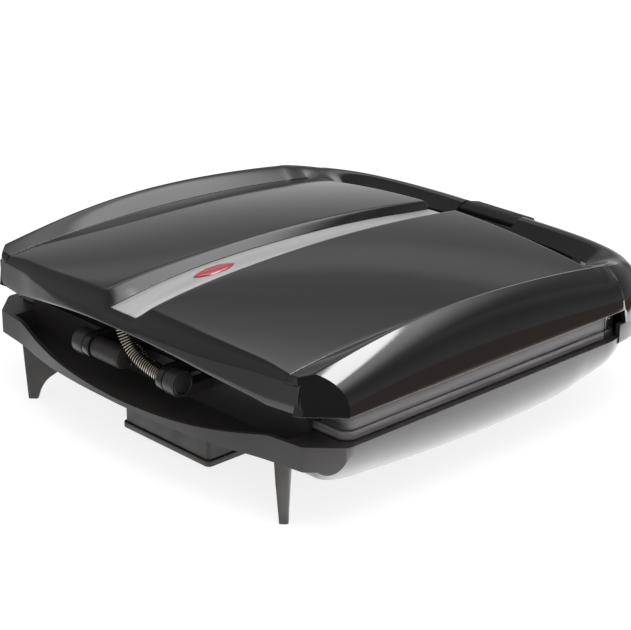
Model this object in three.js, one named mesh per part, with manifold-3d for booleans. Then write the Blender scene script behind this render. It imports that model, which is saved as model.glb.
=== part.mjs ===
// Walnut cookie maker: two hinged moulding plates in a glossy clamshell on four legs.
// Millimetres, +Z up, the table at z = 0, the hinge towards +Y and the latch towards -Y.
// Until the last group shifts it, y = 0 lies near the middle of the moulding plates.

import * as THREE from 'three';
import Module from 'manifold-3d';
import { mergeVertices } from 'three/addons/utils/BufferGeometryUtils.js';

const wasm = await Module();
wasm.setup();

// Sizes of the whole body
const halfWidth = 124.2;
const rearReach = 121;
const frontReach = 144.5;
const frontOver = 23.5;
const cornerOver = 64.5;
const cornerPower = 2.7;
const cornerChamfer = 14.2;
const rearSweep = 13.1;
const bandCornerIn = 7.2;
const rimHeight = 43.1;
const seamRise = 4.4;
const bandRise = 9.5;
const crownRise = 29.8;
const crownDrop = 8.5;
const bandDrop = 11.7;
const bellyDepth = 29.6;

// Walls, gaps and small shares of the work
const wall = 2.5;
const gap = 0.3;
const pinGap = 0.04;
const overrun = 6;
const weld = 1.2;
const mergeReach = 0.0001;
const sinkDepth = 0.15;
const roundSides = 24;
const pinSides = 16;
const screwSides = 8;

// Lid shell, its panels and the strip between them
const lidFrontOver = 52.5;
const rearRound = 7;
const stripRound = 4.6;
const stripRoundSteps = [1, 0.7, 0.4, 0.15, 0];
const archRise = 11.8;
const archInset = 34.2;
const stripHalf = 9;
const stripThick = 1.5;
const bevelRear = 16.5;
const bevelFront = 10.4;
const skirtInset = 0.5;
const boreDepth = 12;
const skirtThick = 2.5;
const bracketDepth = 6;

// Heights along the lid, as shares of the crown's rise above the band, and
// places along it as shares of the rear reach
const panelShares = [
  [-0.765, 0.745], [-0.711, 0.772], [-0.496, 0.872], [-0.248, 0.95], [0, 0.99], [0.248, 1],
  [0.413, 0.987], [0.562, 0.963], [0.702, 0.923], [0.826, 0.879], [0.942, 0.805], [1.05, 0.7],
];
const stripShares = [
  [-0.8, 0.59], [-0.496, 0.718], [-0.248, 0.799], [0, 0.849], [0.248, 0.866],
  [0.446, 0.846], [0.678, 0.799], [0.835, 0.705], [0.99, 0.594], [1.05, 0.55],
];
const crestShares = [
  [-0.66, 0.7], [-0.512, 0.77], [-0.372, 0.84], [-0.124, 0.906], [0.124, 0.933],
  [0.33, 0.916], [0.496, 0.84], [0.66, 0.755], [0.835, 0.638], [1.05, 0.5],
];
const rearShares = [[0, 0], [0.227, 0.046], [0.4545, 0.185], [0.636, 0.44], [0.809, 0.77], [1, 1]];
const panelColumnShares = [
  -1, -0.933, -0.8, -0.62, -0.42, -0.22, -0.083, 0.083, 0.22, 0.42, 0.62, 0.8, 0.933, 1,
];
const panelRowShares = [0, 0.12, 0.26, 0.4, 0.54, 0.68, 0.82, 1];
const rearRowShares = [0, 0.12, 0.42];

// Bow: the band along both sides of the lid and the handle round its front
const crestInset = 12.2;
const bandInner = 23.2;
const bandWall = 16;
const flange = 3;
const handleWall = 20.2;
const handleDepth = 22;
const handleUnder = 7;
const handleRise = 9;
const handleInnerRise = 5.5;
const webReach = 36;
const sideRowShares = [1.04, 0.835, 0.66, 0.5, 0.33, 0.124, -0.124, -0.372, -0.52, -0.66];
const cornerTurnShares = [0.034, 0.067, 0.155, 0.267, 0.39, 0.52, 0.645, 0.756, 0.856, 0.933, 1];
const handleRiseShares = [
  [0, 0.7], [0.067, 0.62], [0.155, 0.44], [0.267, 0.28], [0.39, 0.16], [0.52, 0.08], [1, 0],
];
const webShares = [[0, 0], [0.067, 0.25], [0.155, 0.7], [0.267, 1], [0.39, 0.45], [0.52, 0], [1, 0]];
const innerRiseShares = [[0, 1], [0.267, 1], [0.39, 0.6], [0.52, 0.2], [0.645, 0], [1, 0]];

// Latch clip on the handle
const clipHalf = 19.5;
const clipThick = 2.4;
const clipPivotDepth = 5.5;
const clipPivotDrop = 6.7;
const clipPinRadius = 1.5;
const clipPinReach = 24;
const clipHub = 3.6;
const clipRear = 17.8;
const clipKnee = 2.9;
const clipShoulder = 1.2;
const pocketTop = 6;
const handleDrop = 11;
const clipHook = 5.6;
const clipProud = 1.9;
const handleCoreHalf = 26;
const latchSpringRadius = 1.8;
const latchWireRadius = 0.25;
const latchSpringTurns = 5;
const latchSeatRise = 3.75;
const latchSpringInset = 15.8;

// Moulding plates
const plateInset = 4.7;
const plateRearOver = 30;
const plateFrontOver = 63.5;
const plateCorner = 6;
const deck = 3;
const edgeWall = 2.5;
const nutMarginX = 7;
const nutMarginY = 8;
const nutWebX = 6.5;
const nutWebY = 5;
const nutColumns = 6;
const nutRows = 4;
const nutDepth = 11.5;
const shellGap = 3;
const bossOver = 0.9;
const bossTip = 9;
const bossDepth = 14.2;
const seamGap = 0.6;

// Heaters, reflectors, thermostat and fuse
const heaterRadius = 3.25;
const heaterBend = 9;
const heaterSink = 10.2;
const heaterTailIn = 6;
const reflectorThick = 1.2;
const reflectorRim = 3.6;
const reflectorInset = 19.5;
const upperTrayIn = 13;
const lowerTrayRearIn = 12;
const lowerTrayFrontIn = 15;
const reflectorPostIn = 12;
const thermostatRadius = 7.5;
const thermostatDepth = 10;
const fuseRadius = 2.2;
const fuseLength = 12;

// Base shell
const bellyRound = 25;
const ledgeDrop = 0.4;
const ledgeOver = 1.25;
const ledgeWide = 7.5;
const smileDrop = 9.3;
const troughDrop = 9.1;
const troughInset = 24.2;
const bellyShares = [
  [-0.8, 0.727], [-0.744, 0.54], [-0.67, 0.355], [-0.58, 0.186], [-0.43, 0.05], [-0.1, 0],
  [0.223, 0.034], [0.496, 0.101], [0.66, 0.169], [0.744, 0.253], [0.8, 0.355], [0.852, 0.6],
];
const hullNoseShares = [[-0.8, 0.924], [-0.744, 0.98], [-0.67, 1], [1, 1]];
const innerWallOver = 28.4;
const innerWallRise = 5.9;

// Hinge
const axisOver = 8.5;
const axisRise = 7.4;
const knuckleRadius = 6.3;
const knuckleInner = 25;
const knuckleOuter = 29.1;
const postOuter = 37;
const hingePinRadius = 2.5;
const tubeRadius = 5.4;
const tubeInner = 4.5;
const tubeOuter = 24.6;
const bushOver = 0.6;
const bushRadius = 5.2;
const bushBore = 4.4;

// Conduit: a close wound steel spring over the wires from base to lid
const conduitRadius = 3.5;
const conduitWire = 0.4;
const conduitTurns = 24;
const stepsPerTurn = 8;
const nearTurn = 0.6;
const wireSides = 5;
const conduitBends = [
  [6.3, 20.5], [5.4, 17], [3.4, 13], [0.4, 8.8], [-3.8, 5.3], [-9.2, 2.9], [-15.4, 1.3], [-20.7, 0.4],
  [-25, 0], [-30, 0],
];

// Legs, feet and the terminal box below
const legFootInset = 29.6;
const legFootOver = 16.2;
const legLean = 0.04;
const legSplay = 0.45;
const legShares = [
  [0, 0.125, 0.6], [0.13, 0.163, 0.64], [0.24, 0.21, 0.7], [0.34, 0.27, 0.75], [0.45, 0.38, 0.8],
  [0.65, 0.6, 0.9], [1, 1, 1],
];
const legWide = 40;
const legThick = 7.2;
const frontFootInset = 58.2;
const frontFootIn = 3;
const footRadius = 6.5;
const footTopRadius = 8.5;
const padHeight = 2;
const boxMiddle = -13;
const boxHalf = 30.5;
const boxRearShare = 0.8595;
const boxDepth = 42;
const boxUnder = 0.8;
const coverThick = 3;
const coverLip = 1;
const glandRadius = 4.5;
const glandNeck = 3.9;
const glandBore = 3.2;
const glandOut = 6;
const glandIn = 5;
const glandShare = 0.773;
const glandRise = 4.7;
const blockHalf = 15;
const blockDeep = 9;
const blockHigh = 7.8;
const blockInset = 4;
const wireSlotHalf = 10;
const wireSlotUnder = 5;

// Lamp and lens in the strip
const lensOver = 59;
const lensHalfLength = 12.6;
const lensHalfWidth = 3.9;
const lensRise = 0.9;
const lensCrown = [[0.86, 0.6], [0.5, 1]];
const lampRadius = 3;
const lampLength = 14;
const lampDrop = 9.2;
const holderGap = 0.9;

// Screws
const screwRadius = 1.5;
const screwHead = 2.8;
const screwHeadHigh = 1.8;
const screwInset = 8;
const lowerScrewLength = 10.8;
const upperScrewLength = 14.4;
const trayScrewLength = 8;
const postRadius = 3;

// Sizes that follow from those above
const plateSeam = rimHeight + seamRise;
const bandHeight = plateSeam + bandRise;
const rearBandBottom = rimHeight - bandDrop;
const bellyBottom = rimHeight - bellyDepth;
const handleBottom = bandHeight - handleUnder;
const handleTop = bandHeight + handleRise;
const handleInnerTop = bandHeight + handleInnerRise;
const latchSpringSeat = handleBottom + latchSeatRise;
const troughFloor = rimHeight - troughDrop;
const innerWallTop = rimHeight + innerWallRise;
const axisZ = rimHeight + axisRise;
const boxBottom = bellyBottom - boxUnder;
const frontDepth = frontReach - frontOver;
const cornerStart = frontReach - cornerOver;
const lidFront = frontReach - lidFrontOver;
const sweepHalf = halfWidth - cornerChamfer;
const bandCorner = halfWidth - bandCornerIn;
const seamHalf = halfWidth - bandInner;
const archHalf = halfWidth - archInset;
const troughHalf = halfWidth - troughInset;
const plateHalf = halfWidth - plateInset;
const plateRear = rearReach - plateRearOver;
const plateFront = frontReach - plateFrontOver;
const skirtHalf = plateHalf - skirtInset;
const ledgeInner = plateHalf - ledgeWide;
const reflectorHalf = plateHalf - reflectorInset;
const nutPitchX = (2 * (plateHalf - nutMarginX)) / nutColumns;
const nutPitchY = (plateRear + plateFront - 2 * nutMarginY) / nutRows;
const nutMiddle = (plateRear - plateFront) / 2;
const nutHalfX = (nutPitchX - nutWebX) / 2;
const nutHalfY = (nutPitchY - nutWebY) / 2;
const bossTop = nutHalfY + bossOver;
const innerWallY = rearReach - innerWallOver;
const axisY = rearReach - axisOver;
const legFootOut = halfWidth - legFootInset;
const legFootY = rearReach - legFootOver;
const frontFootX = halfWidth - frontFootInset;
const frontFootY = plateFront - frontFootIn;
const boxRear = rearReach * boxRearShare;
const lensMiddle = rearReach - lensOver;
const screwX = 2 * nutPitchX;
const screwRearY = plateRear - screwInset;
const screwFrontY = screwInset - plateFront;
const reflectorScrewX = nutPitchX;
const shellHalf = halfWidth - bandWall - gap;
const handleSplit = handleBottom - gap;
const baseHandleLow = handleBottom - handleDrop;

const root = new THREE.Group();
const lidGroup = new THREE.Group();
const latchGroup = new THREE.Group();
const baseGroup = new THREE.Group();
root.add(lidGroup, latchGroup, baseGroup);

const paints = {
  glossBlack: new THREE.MeshStandardMaterial({ color: 0x1c1c1f, roughness: 0.15, metalness: 0 }),
  mattBlack: new THREE.MeshStandardMaterial({ color: 0x191919, roughness: 0.6, metalness: 0 }),
  silver: new THREE.MeshStandardMaterial({ color: 0xaaa8ac, roughness: 0.35, metalness: 0.6 }),
  redLens: new THREE.MeshStandardMaterial({ color: 0xb4283c, roughness: 0.1, metalness: 0 }),
  plateCoat: new THREE.MeshStandardMaterial({ color: 0x3a3839, roughness: 0.5, metalness: 0.2 }),
  steel: new THREE.MeshStandardMaterial({ color: 0x9a948c, roughness: 0.3, metalness: 1 }),
  bareAluminium: new THREE.MeshStandardMaterial({ color: 0xb5b5b2, roughness: 0.4, metalness: 1 }),
  ceramic: new THREE.MeshStandardMaterial({ color: 0xd8d2c4, roughness: 0.7, metalness: 0 }),
  rubber: new THREE.MeshStandardMaterial({ color: 0x141414, roughness: 0.9, metalness: 0 }),
  clearGlass: new THREE.MeshStandardMaterial({ color: 0xe8c8b8, roughness: 0.05, metalness: 0 }),
};

// Reads a table of [place, value] pairs by straight lines between its rows
function lookUp(table, place) {
  const last = table.length - 1;
  if (place <= table[0][0]) {
    return table[0][1];
  }
  for (let row = 1; row <= last; row += 1) {
    if (place <= table[row][0]) {
      const [x0, y0] = table[row - 1];
      const [x1, y1] = table[row];
      return y0 + ((y1 - y0) * (place - x0)) / (x1 - x0);
    }
  }
  return table[last][1];
}

// A place along the body as a share of the reach to its own end, and back
function shareOf(y) {
  return y / (y > 0 ? rearReach : frontDepth);
}

function placeOf(share) {
  return share * (share > 0 ? rearReach : frontDepth);
}

// Turns a three.js geometry into a solid for joining and cutting
function solid(geometry) {
  const bare = new THREE.BufferGeometry();
  bare.setAttribute('position', geometry.getAttribute('position').clone());
  if (geometry.index) {
    bare.setIndex(geometry.index.clone());
  }
  const merged = mergeVertices(bare, mergeReach);
  const points = Float32Array.from(merged.getAttribute('position').array);
  const faces = Uint32Array.from(merged.index.array);
  let volume = 0;
  const a = new THREE.Vector3();
  const b = new THREE.Vector3();
  const c = new THREE.Vector3();
  for (let face = 0; face < faces.length; face += 3) {
    a.fromArray(points, faces[face] * 3);
    b.fromArray(points, faces[face + 1] * 3);
    c.fromArray(points, faces[face + 2] * 3);
    volume += a.dot(b.cross(c));
  }
  if (volume < 0) {
    for (let face = 0; face < faces.length; face += 3) {
      [faces[face], faces[face + 1]] = [faces[face + 1], faces[face]];
    }
  }
  return new wasm.Manifold(new wasm.Mesh({ numProp: 3, vertProperties: points, triVerts: faces }));
}

// Adds a finished solid to a group as a named mesh
function addPiece(group, name, shape, paint) {
  const mesh = shape.getMesh();
  const geometry = new THREE.BufferGeometry();
  geometry.setAttribute(
    'position', new THREE.BufferAttribute(Float32Array.from(mesh.vertProperties), 3),
  );
  geometry.setIndex(new THREE.BufferAttribute(Uint32Array.from(mesh.triVerts), 1));
  geometry.computeVertexNormals();
  const piece = new THREE.Mesh(geometry, paint);
  piece.name = name;
  group.add(piece);
  return piece;
}

function cuboid(x0, x1, y0, y1, z0, z1) {
  const geometry = new THREE.BoxGeometry(x1 - x0, y1 - y0, z1 - z0);
  geometry.translate((x0 + x1) / 2, (y0 + y1) / 2, (z0 + z1) / 2);
  return solid(geometry);
}

// A round bar along Z from z0 to z1, which may taper
function post(x, y, z0, z1, radius, topRadius = radius, sides = roundSides) {
  const geometry = new THREE.CylinderGeometry(topRadius, radius, z1 - z0, sides);
  geometry.rotateX(Math.PI / 2);
  geometry.translate(x, y, (z0 + z1) / 2);
  return solid(geometry);
}

function barAlongX(x0, x1, y, z, radius, sides = roundSides) {
  const geometry = new THREE.CylinderGeometry(radius, radius, x1 - x0, sides);
  geometry.rotateZ(Math.PI / 2);
  geometry.translate((x0 + x1) / 2, y, z);
  return solid(geometry);
}

function barAlongY(x, y0, y1, z, radius, sides = roundSides) {
  const geometry = new THREE.CylinderGeometry(radius, radius, y1 - y0, sides);
  geometry.translate(x, (y0 + y1) / 2, z);
  return solid(geometry);
}

// An outline in x and y, raised from z0 to z1
function raised(outline, z0, z1) {
  const shape = new THREE.Shape(outline.map(([x, y]) => new THREE.Vector2(x, y)));
  const geometry = new THREE.ExtrudeGeometry(shape, { depth: z1 - z0, bevelEnabled: false });
  geometry.translate(0, 0, z0);
  return solid(geometry);
}

// An outline in y and z, run along X from x0 to x1
function runAlongX(outline, x0, x1) {
  const shape = new THREE.Shape(outline.map(([y, z]) => new THREE.Vector2(y, z)));
  const geometry = new THREE.ExtrudeGeometry(shape, { depth: x1 - x0, bevelEnabled: false });
  geometry.rotateY(Math.PI / 2);
  geometry.rotateX(Math.PI / 2);
  geometry.translate(x0, 0, 0);
  return solid(geometry);
}

// An outline in x and z, run along Y from y0 to y1
function runAlongY(outline, y0, y1) {
  const shape = new THREE.Shape(outline.map(([x, z]) => new THREE.Vector2(x, z)));
  const geometry = new THREE.ExtrudeGeometry(shape, { depth: y1 - y0, bevelEnabled: false });
  geometry.rotateX(Math.PI / 2);
  geometry.translate(0, y1, 0);
  return solid(geometry);
}

// Faces that close the end of a loft, in the plane of two of its coordinates
function endFaces(ring, first, across, up) {
  const flat = ring.map((point) => new THREE.Vector2(point[across], point[up]));
  const side = Math.sign(THREE.ShapeUtils.area(flat));
  return THREE.ShapeUtils.triangulateShape(flat, []).map(([a, b, c]) => {
    const turn = (flat[b].x - flat[a].x) * (flat[c].y - flat[a].y)
      - (flat[b].y - flat[a].y) * (flat[c].x - flat[a].x);
    return turn * side > 0 ? [first + a, first + b, first + c] : [first + b, first + a, first + c];
  });
}

// A solid through a row of closed rings with as many points each
function loft(rings, across = 0, up = 2) {
  const count = rings[0].length;
  const faces = [];
  for (let ring = 0; ring + 1 < rings.length; ring += 1) {
    for (let k = 0; k < count; k += 1) {
      const a = ring * count + k;
      const b = ring * count + ((k + 1) % count);
      faces.push([a, b, b + count], [a, b + count, a + count]);
    }
  }
  for (const [a, b, c] of endFaces(rings[0], 0, across, up)) {
    faces.push([a, c, b]);
  }
  faces.push(...endFaces(rings[rings.length - 1], (rings.length - 1) * count, across, up));
  const geometry = new THREE.BufferGeometry();
  geometry.setAttribute('position', new THREE.BufferAttribute(Float32Array.from(rings.flat(2)), 3));
  geometry.setIndex(faces.flat());
  return solid(geometry);
}

// A block between two height functions over columns in x and rows that may bend in y
function block(columns, rows, yAt, topAt, bottomAt) {
  const points = [];
  for (const x of columns) {
    for (const row of rows) {
      const y = yAt(x, row);
      points.push([x, y, topAt(x, y)], [x, y, bottomAt(x, y)]);
    }
  }
  const wide = rows.length;
  const faces = [];
  const quad = (a, b, c, d) => faces.push([a, b, c], [a, c, d]);
  const top = (i, j) => 2 * (i * wide + j);
  const low = (i, j) => top(i, j) + 1;
  for (let i = 0; i + 1 < columns.length; i += 1) {
    for (let j = 0; j + 1 < wide; j += 1) {
      quad(top(i, j), top(i, j + 1), top(i + 1, j + 1), top(i + 1, j));
      quad(low(i, j), low(i + 1, j), low(i + 1, j + 1), low(i, j + 1));
    }
    quad(top(i, 0), top(i + 1, 0), low(i + 1, 0), low(i, 0));
    quad(top(i + 1, wide - 1), top(i, wide - 1), low(i, wide - 1), low(i + 1, wide - 1));
  }
  const end = columns.length - 1;
  for (let j = 0; j + 1 < wide; j += 1) {
    quad(top(0, j + 1), top(0, j), low(0, j), low(0, j + 1));
    quad(top(end, j), top(end, j + 1), low(end, j + 1), low(end, j));
  }
  const geometry = new THREE.BufferGeometry();
  geometry.setAttribute('position', new THREE.BufferAttribute(Float32Array.from(points.flat()), 3));
  geometry.setIndex(faces.flat());
  return solid(geometry);
}

// Both sides of the object, as the sign of x
const sides = [['left', 1], ['right', -1]];

// Rear edge of the body in plan
function rearEdge(x) {
  return rearReach - rearSweep * lookUp(rearShares, Math.abs(x) / sweepHalf);
}

// The cut across each rear corner, moved in by an inset
function cornerCut(side, inset) {
  const sum = sweepHalf + rearReach - rearSweep - inset * Math.SQRT2;
  const outX = halfWidth + overrun;
  const outY = rearReach + overrun;
  return raised([
    [side * outX, sum - outX],
    [side * outX, outY],
    [side * (sum - outY), outY],
  ], -overrun, bandHeight + crownRise + overrun);
}

// What lies behind the curved rear edge at one side
function rearTrim(side) {
  const shares = rearShares.map(([share]) => share).filter((share) => share > rearShares[1][0]);
  const edge = shares.map((share) => [side * sweepHalf * share, rearEdge(sweepHalf * share)]);
  const far = rearReach + overrun;
  return raised(
    [...edge, [side * sweepHalf, far], [edge[0][0], far]], -overrun, bandHeight + crownRise + overrun,
  );
}

// Height of the panels, with the rounded edge above the hinge side
function fallBehind(inward, radius) {
  const short = Math.max(0, radius - Math.max(0, inward));
  return radius - Math.sqrt(radius * radius - short * short);
}

function panelTop(x, y) {
  const level = bandHeight + crownRise * lookUp(panelShares, shareOf(y));
  return level - crownDrop * (x / seamHalf) ** 2 - fallBehind(rearEdge(x) - y, rearRound);
}

function stripTop(y) {
  return bandHeight + crownRise * lookUp(stripShares, shareOf(y));
}

function crestTop(y) {
  return bandHeight + crownRise * lookUp(crestShares, shareOf(y));
}

function bevelHalf(y) {
  return bevelFront + ((bevelRear - bevelFront) * (y + lidFront)) / (rearReach + lidFront);
}

// The outer line round the body: a point and its outward direction at a turn of the corner
function outline(side, turn) {
  const angle = (turn * Math.PI) / 2;
  const reach = frontReach - cornerStart;
  const across = Math.cos(angle) ** (2 / cornerPower);
  const along = Math.sin(angle) ** (2 / cornerPower);
  const nx = across ** (cornerPower - 1) / halfWidth;
  const ny = along ** (cornerPower - 1) / reach;
  const long = Math.hypot(nx, ny);
  return {
    x: side * halfWidth * across,
    y: -cornerStart - reach * along,
    nx: (side * nx) / long,
    ny: -ny / long,
  };
}

// Every station of the bow, from one rear corner round the front to the other
function bowStations() {
  const half = (side) => {
    const rows = sideRowShares.map((share) => ({
      x: side * halfWidth,
      y: placeOf(share),
      nx: side,
      ny: 0,
      crest: crestTop(placeOf(share)),
      inner: panelTop(seamHalf, Math.min(placeOf(share), rearEdge(seamHalf) - rearRound)),
      reach: bandInner + gap,
      wallIn: bandWall,
      bottom: bandHeight,
    }));
    const edge = panelTop(seamHalf, -lidFront);
    const turns = cornerTurnShares.map((turn) => ({
      ...outline(side, turn),
      crest: handleTop + (crestTop(-cornerStart) - handleTop) * lookUp(handleRiseShares, turn) / handleRiseShares[0][1],
      inner: handleInnerTop + (edge - handleInnerTop) * lookUp(innerRiseShares, turn),
      reach: handleDepth + (bandInner - handleDepth) * lookUp(innerRiseShares, turn)
        + (webReach - bandInner) * lookUp(webShares, turn),
      wallIn: bandWall + (handleWall - bandWall) * lookUp([[0, 0], [cornerTurnShares[4], 1]], turn),
      bottom: turn > cornerTurnShares[0] ? handleBottom : bandHeight,
    }));
    return [...rows, ...turns];
  };
  const left = half(1);
  const right = half(-1).slice(0, -1).reverse();
  return [...left, ...right];
}

// One cross-section of the bow at a station, drawn in by an inset for its hollow
function bowRing(station, inset) {
  const { crest, inner, reach, wallIn, bottom } = station;
  const ring = [];
  const arcSteps = 5;
  const across = crestInset - inset;
  const high = crest - inset - bottom;
  for (let step = 0; step <= arcSteps; step += 1) {
    const angle = ((step / arcSteps) * Math.PI) / 2;
    ring.push([inset + across * (1 - Math.cos(angle)), bottom + high * Math.sin(angle)]);
  }
  const slope = (inner - crest) / (reach - crestInset);
  if (inset > 0) {
    const stop = wallIn - inset;
    ring.push([stop, crest + slope * (stop - crestInset) - inset]);
    ring.push([stop, bottom - overrun]);
    ring.push([inset, bottom - overrun]);
  } else {
    ring.push([reach, inner]);
    ring.push([reach - gap * seamGap, inner - flange]);
    ring.push([wallIn, inner - flange - gap]);
    ring.push([wallIn + gap * seamGap, bottom]);
  }
  return ring.map(([u, z]) => [station.x - station.nx * u, station.y - station.ny * u, z]);
}

// The shell's own room under and inside the bow's flange
function shellRoom(grow) {
  const rear = rearReach + overrun;
  const upper = cuboid(
    -seamHalf - grow,
    seamHalf + grow,
    -lidFront - grow,
    rear,
    bandHeight - overrun,
    bandHeight + crownRise,
  );
  return upper;
}

// A run along one side of the lid, above or below the bow's flange, up to a reach in x
function flangeRun(side, reach, level, far) {
  const rings = sideRowShares.map((share) => {
    const y = placeOf(share);
    const near = panelTop(seamHalf, Math.min(y, rearEdge(seamHalf) - rearRound)) - flange + level;
    return [
      [side * seamHalf, y, near],
      [side * reach, y, near],
      [side * reach, y, far],
      [side * seamHalf, y, far],
    ];
  });
  const front = rings[rings.length - 1].map(([x, , z]) => [x, -lidFront - gap, z]);
  return loft([...rings, front]);
}

// The recess that the strip lies in, with its bevels up to the panels
function stripChannel() {
  const roundPlaces = stripRoundSteps.map((share) => rearEdge(0) - stripRound * share);
  const start = roundPlaces[0];
  const places = stripShares.map(([share]) => placeOf(share)).filter((y) => y < start || y > rearReach);
  const section = (y, floorDrop) => {
    const fall = fallBehind(rearEdge(0) - y, stripRound);
    const strip = stripTop(y) - fall;
    const panel = bandHeight + crownRise * lookUp(panelShares, shareOf(y)) - fallBehind(
      rearEdge(0) - y, rearRound,
    );
    const bevel = bevelHalf(y);
    const top = bandHeight + crownRise + overrun;
    const edge = Math.max(panel, strip + gap);
    return [
      [-stripHalf - gap, y, strip - floorDrop],
      [stripHalf + gap, y, strip - floorDrop],
      [stripHalf + gap, y, strip],
      [bevel, y, edge],
      [bevel + gap, y, top],
      [-bevel - gap, y, top],
      [-bevel, y, edge],
      [-stripHalf - gap, y, strip],
    ];
  };
  const all = [...places, ...roundPlaces].sort((a, b) => a - b);
  const bevels = loft(all.map((y) => section(y, mergeReach)));
  const recess = loft(
    [...places.filter((y) => y < start), start].map((y) => section(y, stripThick + gap)),
  );
  return bevels.add(recess);
}

// The pointed oval of the lens, scaled across by a share
function lensOutline(share, grow) {
  const points = [];
  const stepsRound = 6;
  for (const side of [1, -1]) {
    for (let step = 0; step < stepsRound; step += 1) {
      const along = side * (1 - (2 * step) / stepsRound);
      points.push([
        side * (lensHalfWidth + grow) * share * (1 - along * along),
        lensMiddle + (lensHalfLength + grow) * share * along,
      ]);
    }
  }
  return points;
}

function makeLidShell() {
  const columns = panelColumnShares.map((share) => share * shellHalf);
  const rows = [
    ...rearRowShares.map((share) => [share, 0]),
    ...panelRowShares.map((share) => [1, share]),
  ];
  const rowPlace = (inset) => (x, [round, run]) => {
    const start = rearEdge(x) - inset - rearRound * round;
    return start + (-lidFront + inset - start) * run;
  };
  const outer = block(columns, rows, rowPlace(0), panelTop, () => bandHeight);
  const channelHalf = stripHalf + wall;
  const innerColumns = [
    ...columns.slice(1, -1), -channelHalf, channelHalf, -bevelRear - wall, bevelRear + wall,
  ];
  innerColumns.push(-shellHalf + wall, shellHalf - wall);
  innerColumns.sort((a, b) => a - b);
  const innerTop = (x, y) => {
    const roof = panelTop(x, y + wall) - wall;
    const under = stripTop(y) - stripThick - gap - wall;
    return Math.abs(x) <= channelHalf + mergeReach ? Math.min(roof, under) : roof;
  };
  const inner = block(innerColumns, rows, rowPlace(wall), innerTop, () => bandHeight - overrun);
  let shell = outer.subtract(inner);

  // Front skirt with its end brackets, and the wall ahead of the hinge
  const skirtBottom = plateSeam + gap;
  const skirtY = -plateFront - gap;
  shell = shell.add(
    cuboid(-skirtHalf, skirtHalf, skirtY - skirtThick, skirtY, skirtBottom, bandHeight - gap),
  );
  shell = shell.add(
    cuboid(
      -shellHalf + wall,
      shellHalf - wall,
      skirtY - skirtThick,
      skirtY,
      bandHeight - overrun,
      bandHeight + overrun,
    ),
  );
  for (const [, side] of sides) {
    const x = [side * skirtHalf, side * (skirtHalf - bracketDepth)].sort((a, b) => a - b);
    shell = shell.add(cuboid(x[0], x[1], skirtY - bracketDepth, skirtY, skirtBottom, bandHeight - gap));
  }
  shell = shell.add(
    cuboid(-shellHalf + wall, shellHalf - wall, -lidFront, skirtY, bandHeight, bandHeight + wall),
  );
  const wallTop = panelTop(shellHalf, innerWallY) - wall;
  shell = shell.add(
    cuboid(
      -shellHalf + wall,
      shellHalf - wall,
      innerWallY,
      innerWallY + wall,
      innerWallTop + seamGap,
      wallTop,
    ),
  );

  // Screw posts
  for (const [, side] of sides) {
    for (const y of [screwRearY, screwFrontY]) {
      shell = shell.add(
        post(
          side * screwX, y, bandHeight, panelTop(screwX, y) - weld, postRadius, postRadius, screwSides,
        ),
      );
    }
  }

  // Cuts: the arch above the hinge, ledges, channel, lens hole, bores
  const arch = [];
  const archSteps = 10;
  for (let step = 0; step <= archSteps; step += 1) {
    const share = 1 - (2 * step) / archSteps;
    arch.push([archHalf * share, bandHeight + archRise * (1 - share * share)]);
  }
  arch.push([-archHalf, bandHeight - overrun], [archHalf, bandHeight - overrun]);
  shell = shell.subtract(runAlongY(arch, innerWallY + wall, rearReach + overrun));

  // Hinge knuckles on arms from the wall ahead of them
  const armStart = innerWallY + weld;
  for (const [, side] of sides) {
    const x = [side * knuckleInner, side * knuckleOuter].sort((a, b) => a - b);
    shell = shell.add(cuboid(x[0], x[1], armStart, axisY, axisZ, axisZ + knuckleRadius));
    shell = shell.add(barAlongX(x[0], x[1], axisY, axisZ, knuckleRadius));
  }
  const roof = bandHeight + crownRise + overrun;
  for (const [, side] of sides) {
    shell = shell.subtract(flangeRun(side, shellHalf + overrun, -seamGap, roof)).subtract(
      cornerCut(side, gap),
    );
    const bore = side > 0 ? hingePinRadius + 2 * pinGap : bushRadius + 2 * pinGap;
    const x = [side * (knuckleInner - overrun), side * (knuckleOuter + overrun)].sort((a, b) => a - b);
    shell = shell.subtract(barAlongX(x[0], x[1], axisY, axisZ, bore));
    for (const y of [screwRearY, screwFrontY]) {
      shell = shell.subtract(
        post(
          side * screwX,
          y,
          bandHeight - overrun,
          bandHeight + boreDepth,
          screwRadius + gap,
          undefined,
          screwSides,
        ),
      );
    }
  }
  shell = shell.subtract(stripChannel());
  shell = shell.subtract(
    raised(lensOutline(1, gap), bandHeight + overrun, bandHeight + crownRise + overrun),
  );
  const exit = conduitRoute()[0];
  shell = shell.subtract(
    post(exit[0], exit[1], bandHeight, exit[2] + wall, conduitRadius + conduitWire + gap),
  );
  addPiece(lidGroup, 'lid_shell', shell, paints.glossBlack);
}

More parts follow.
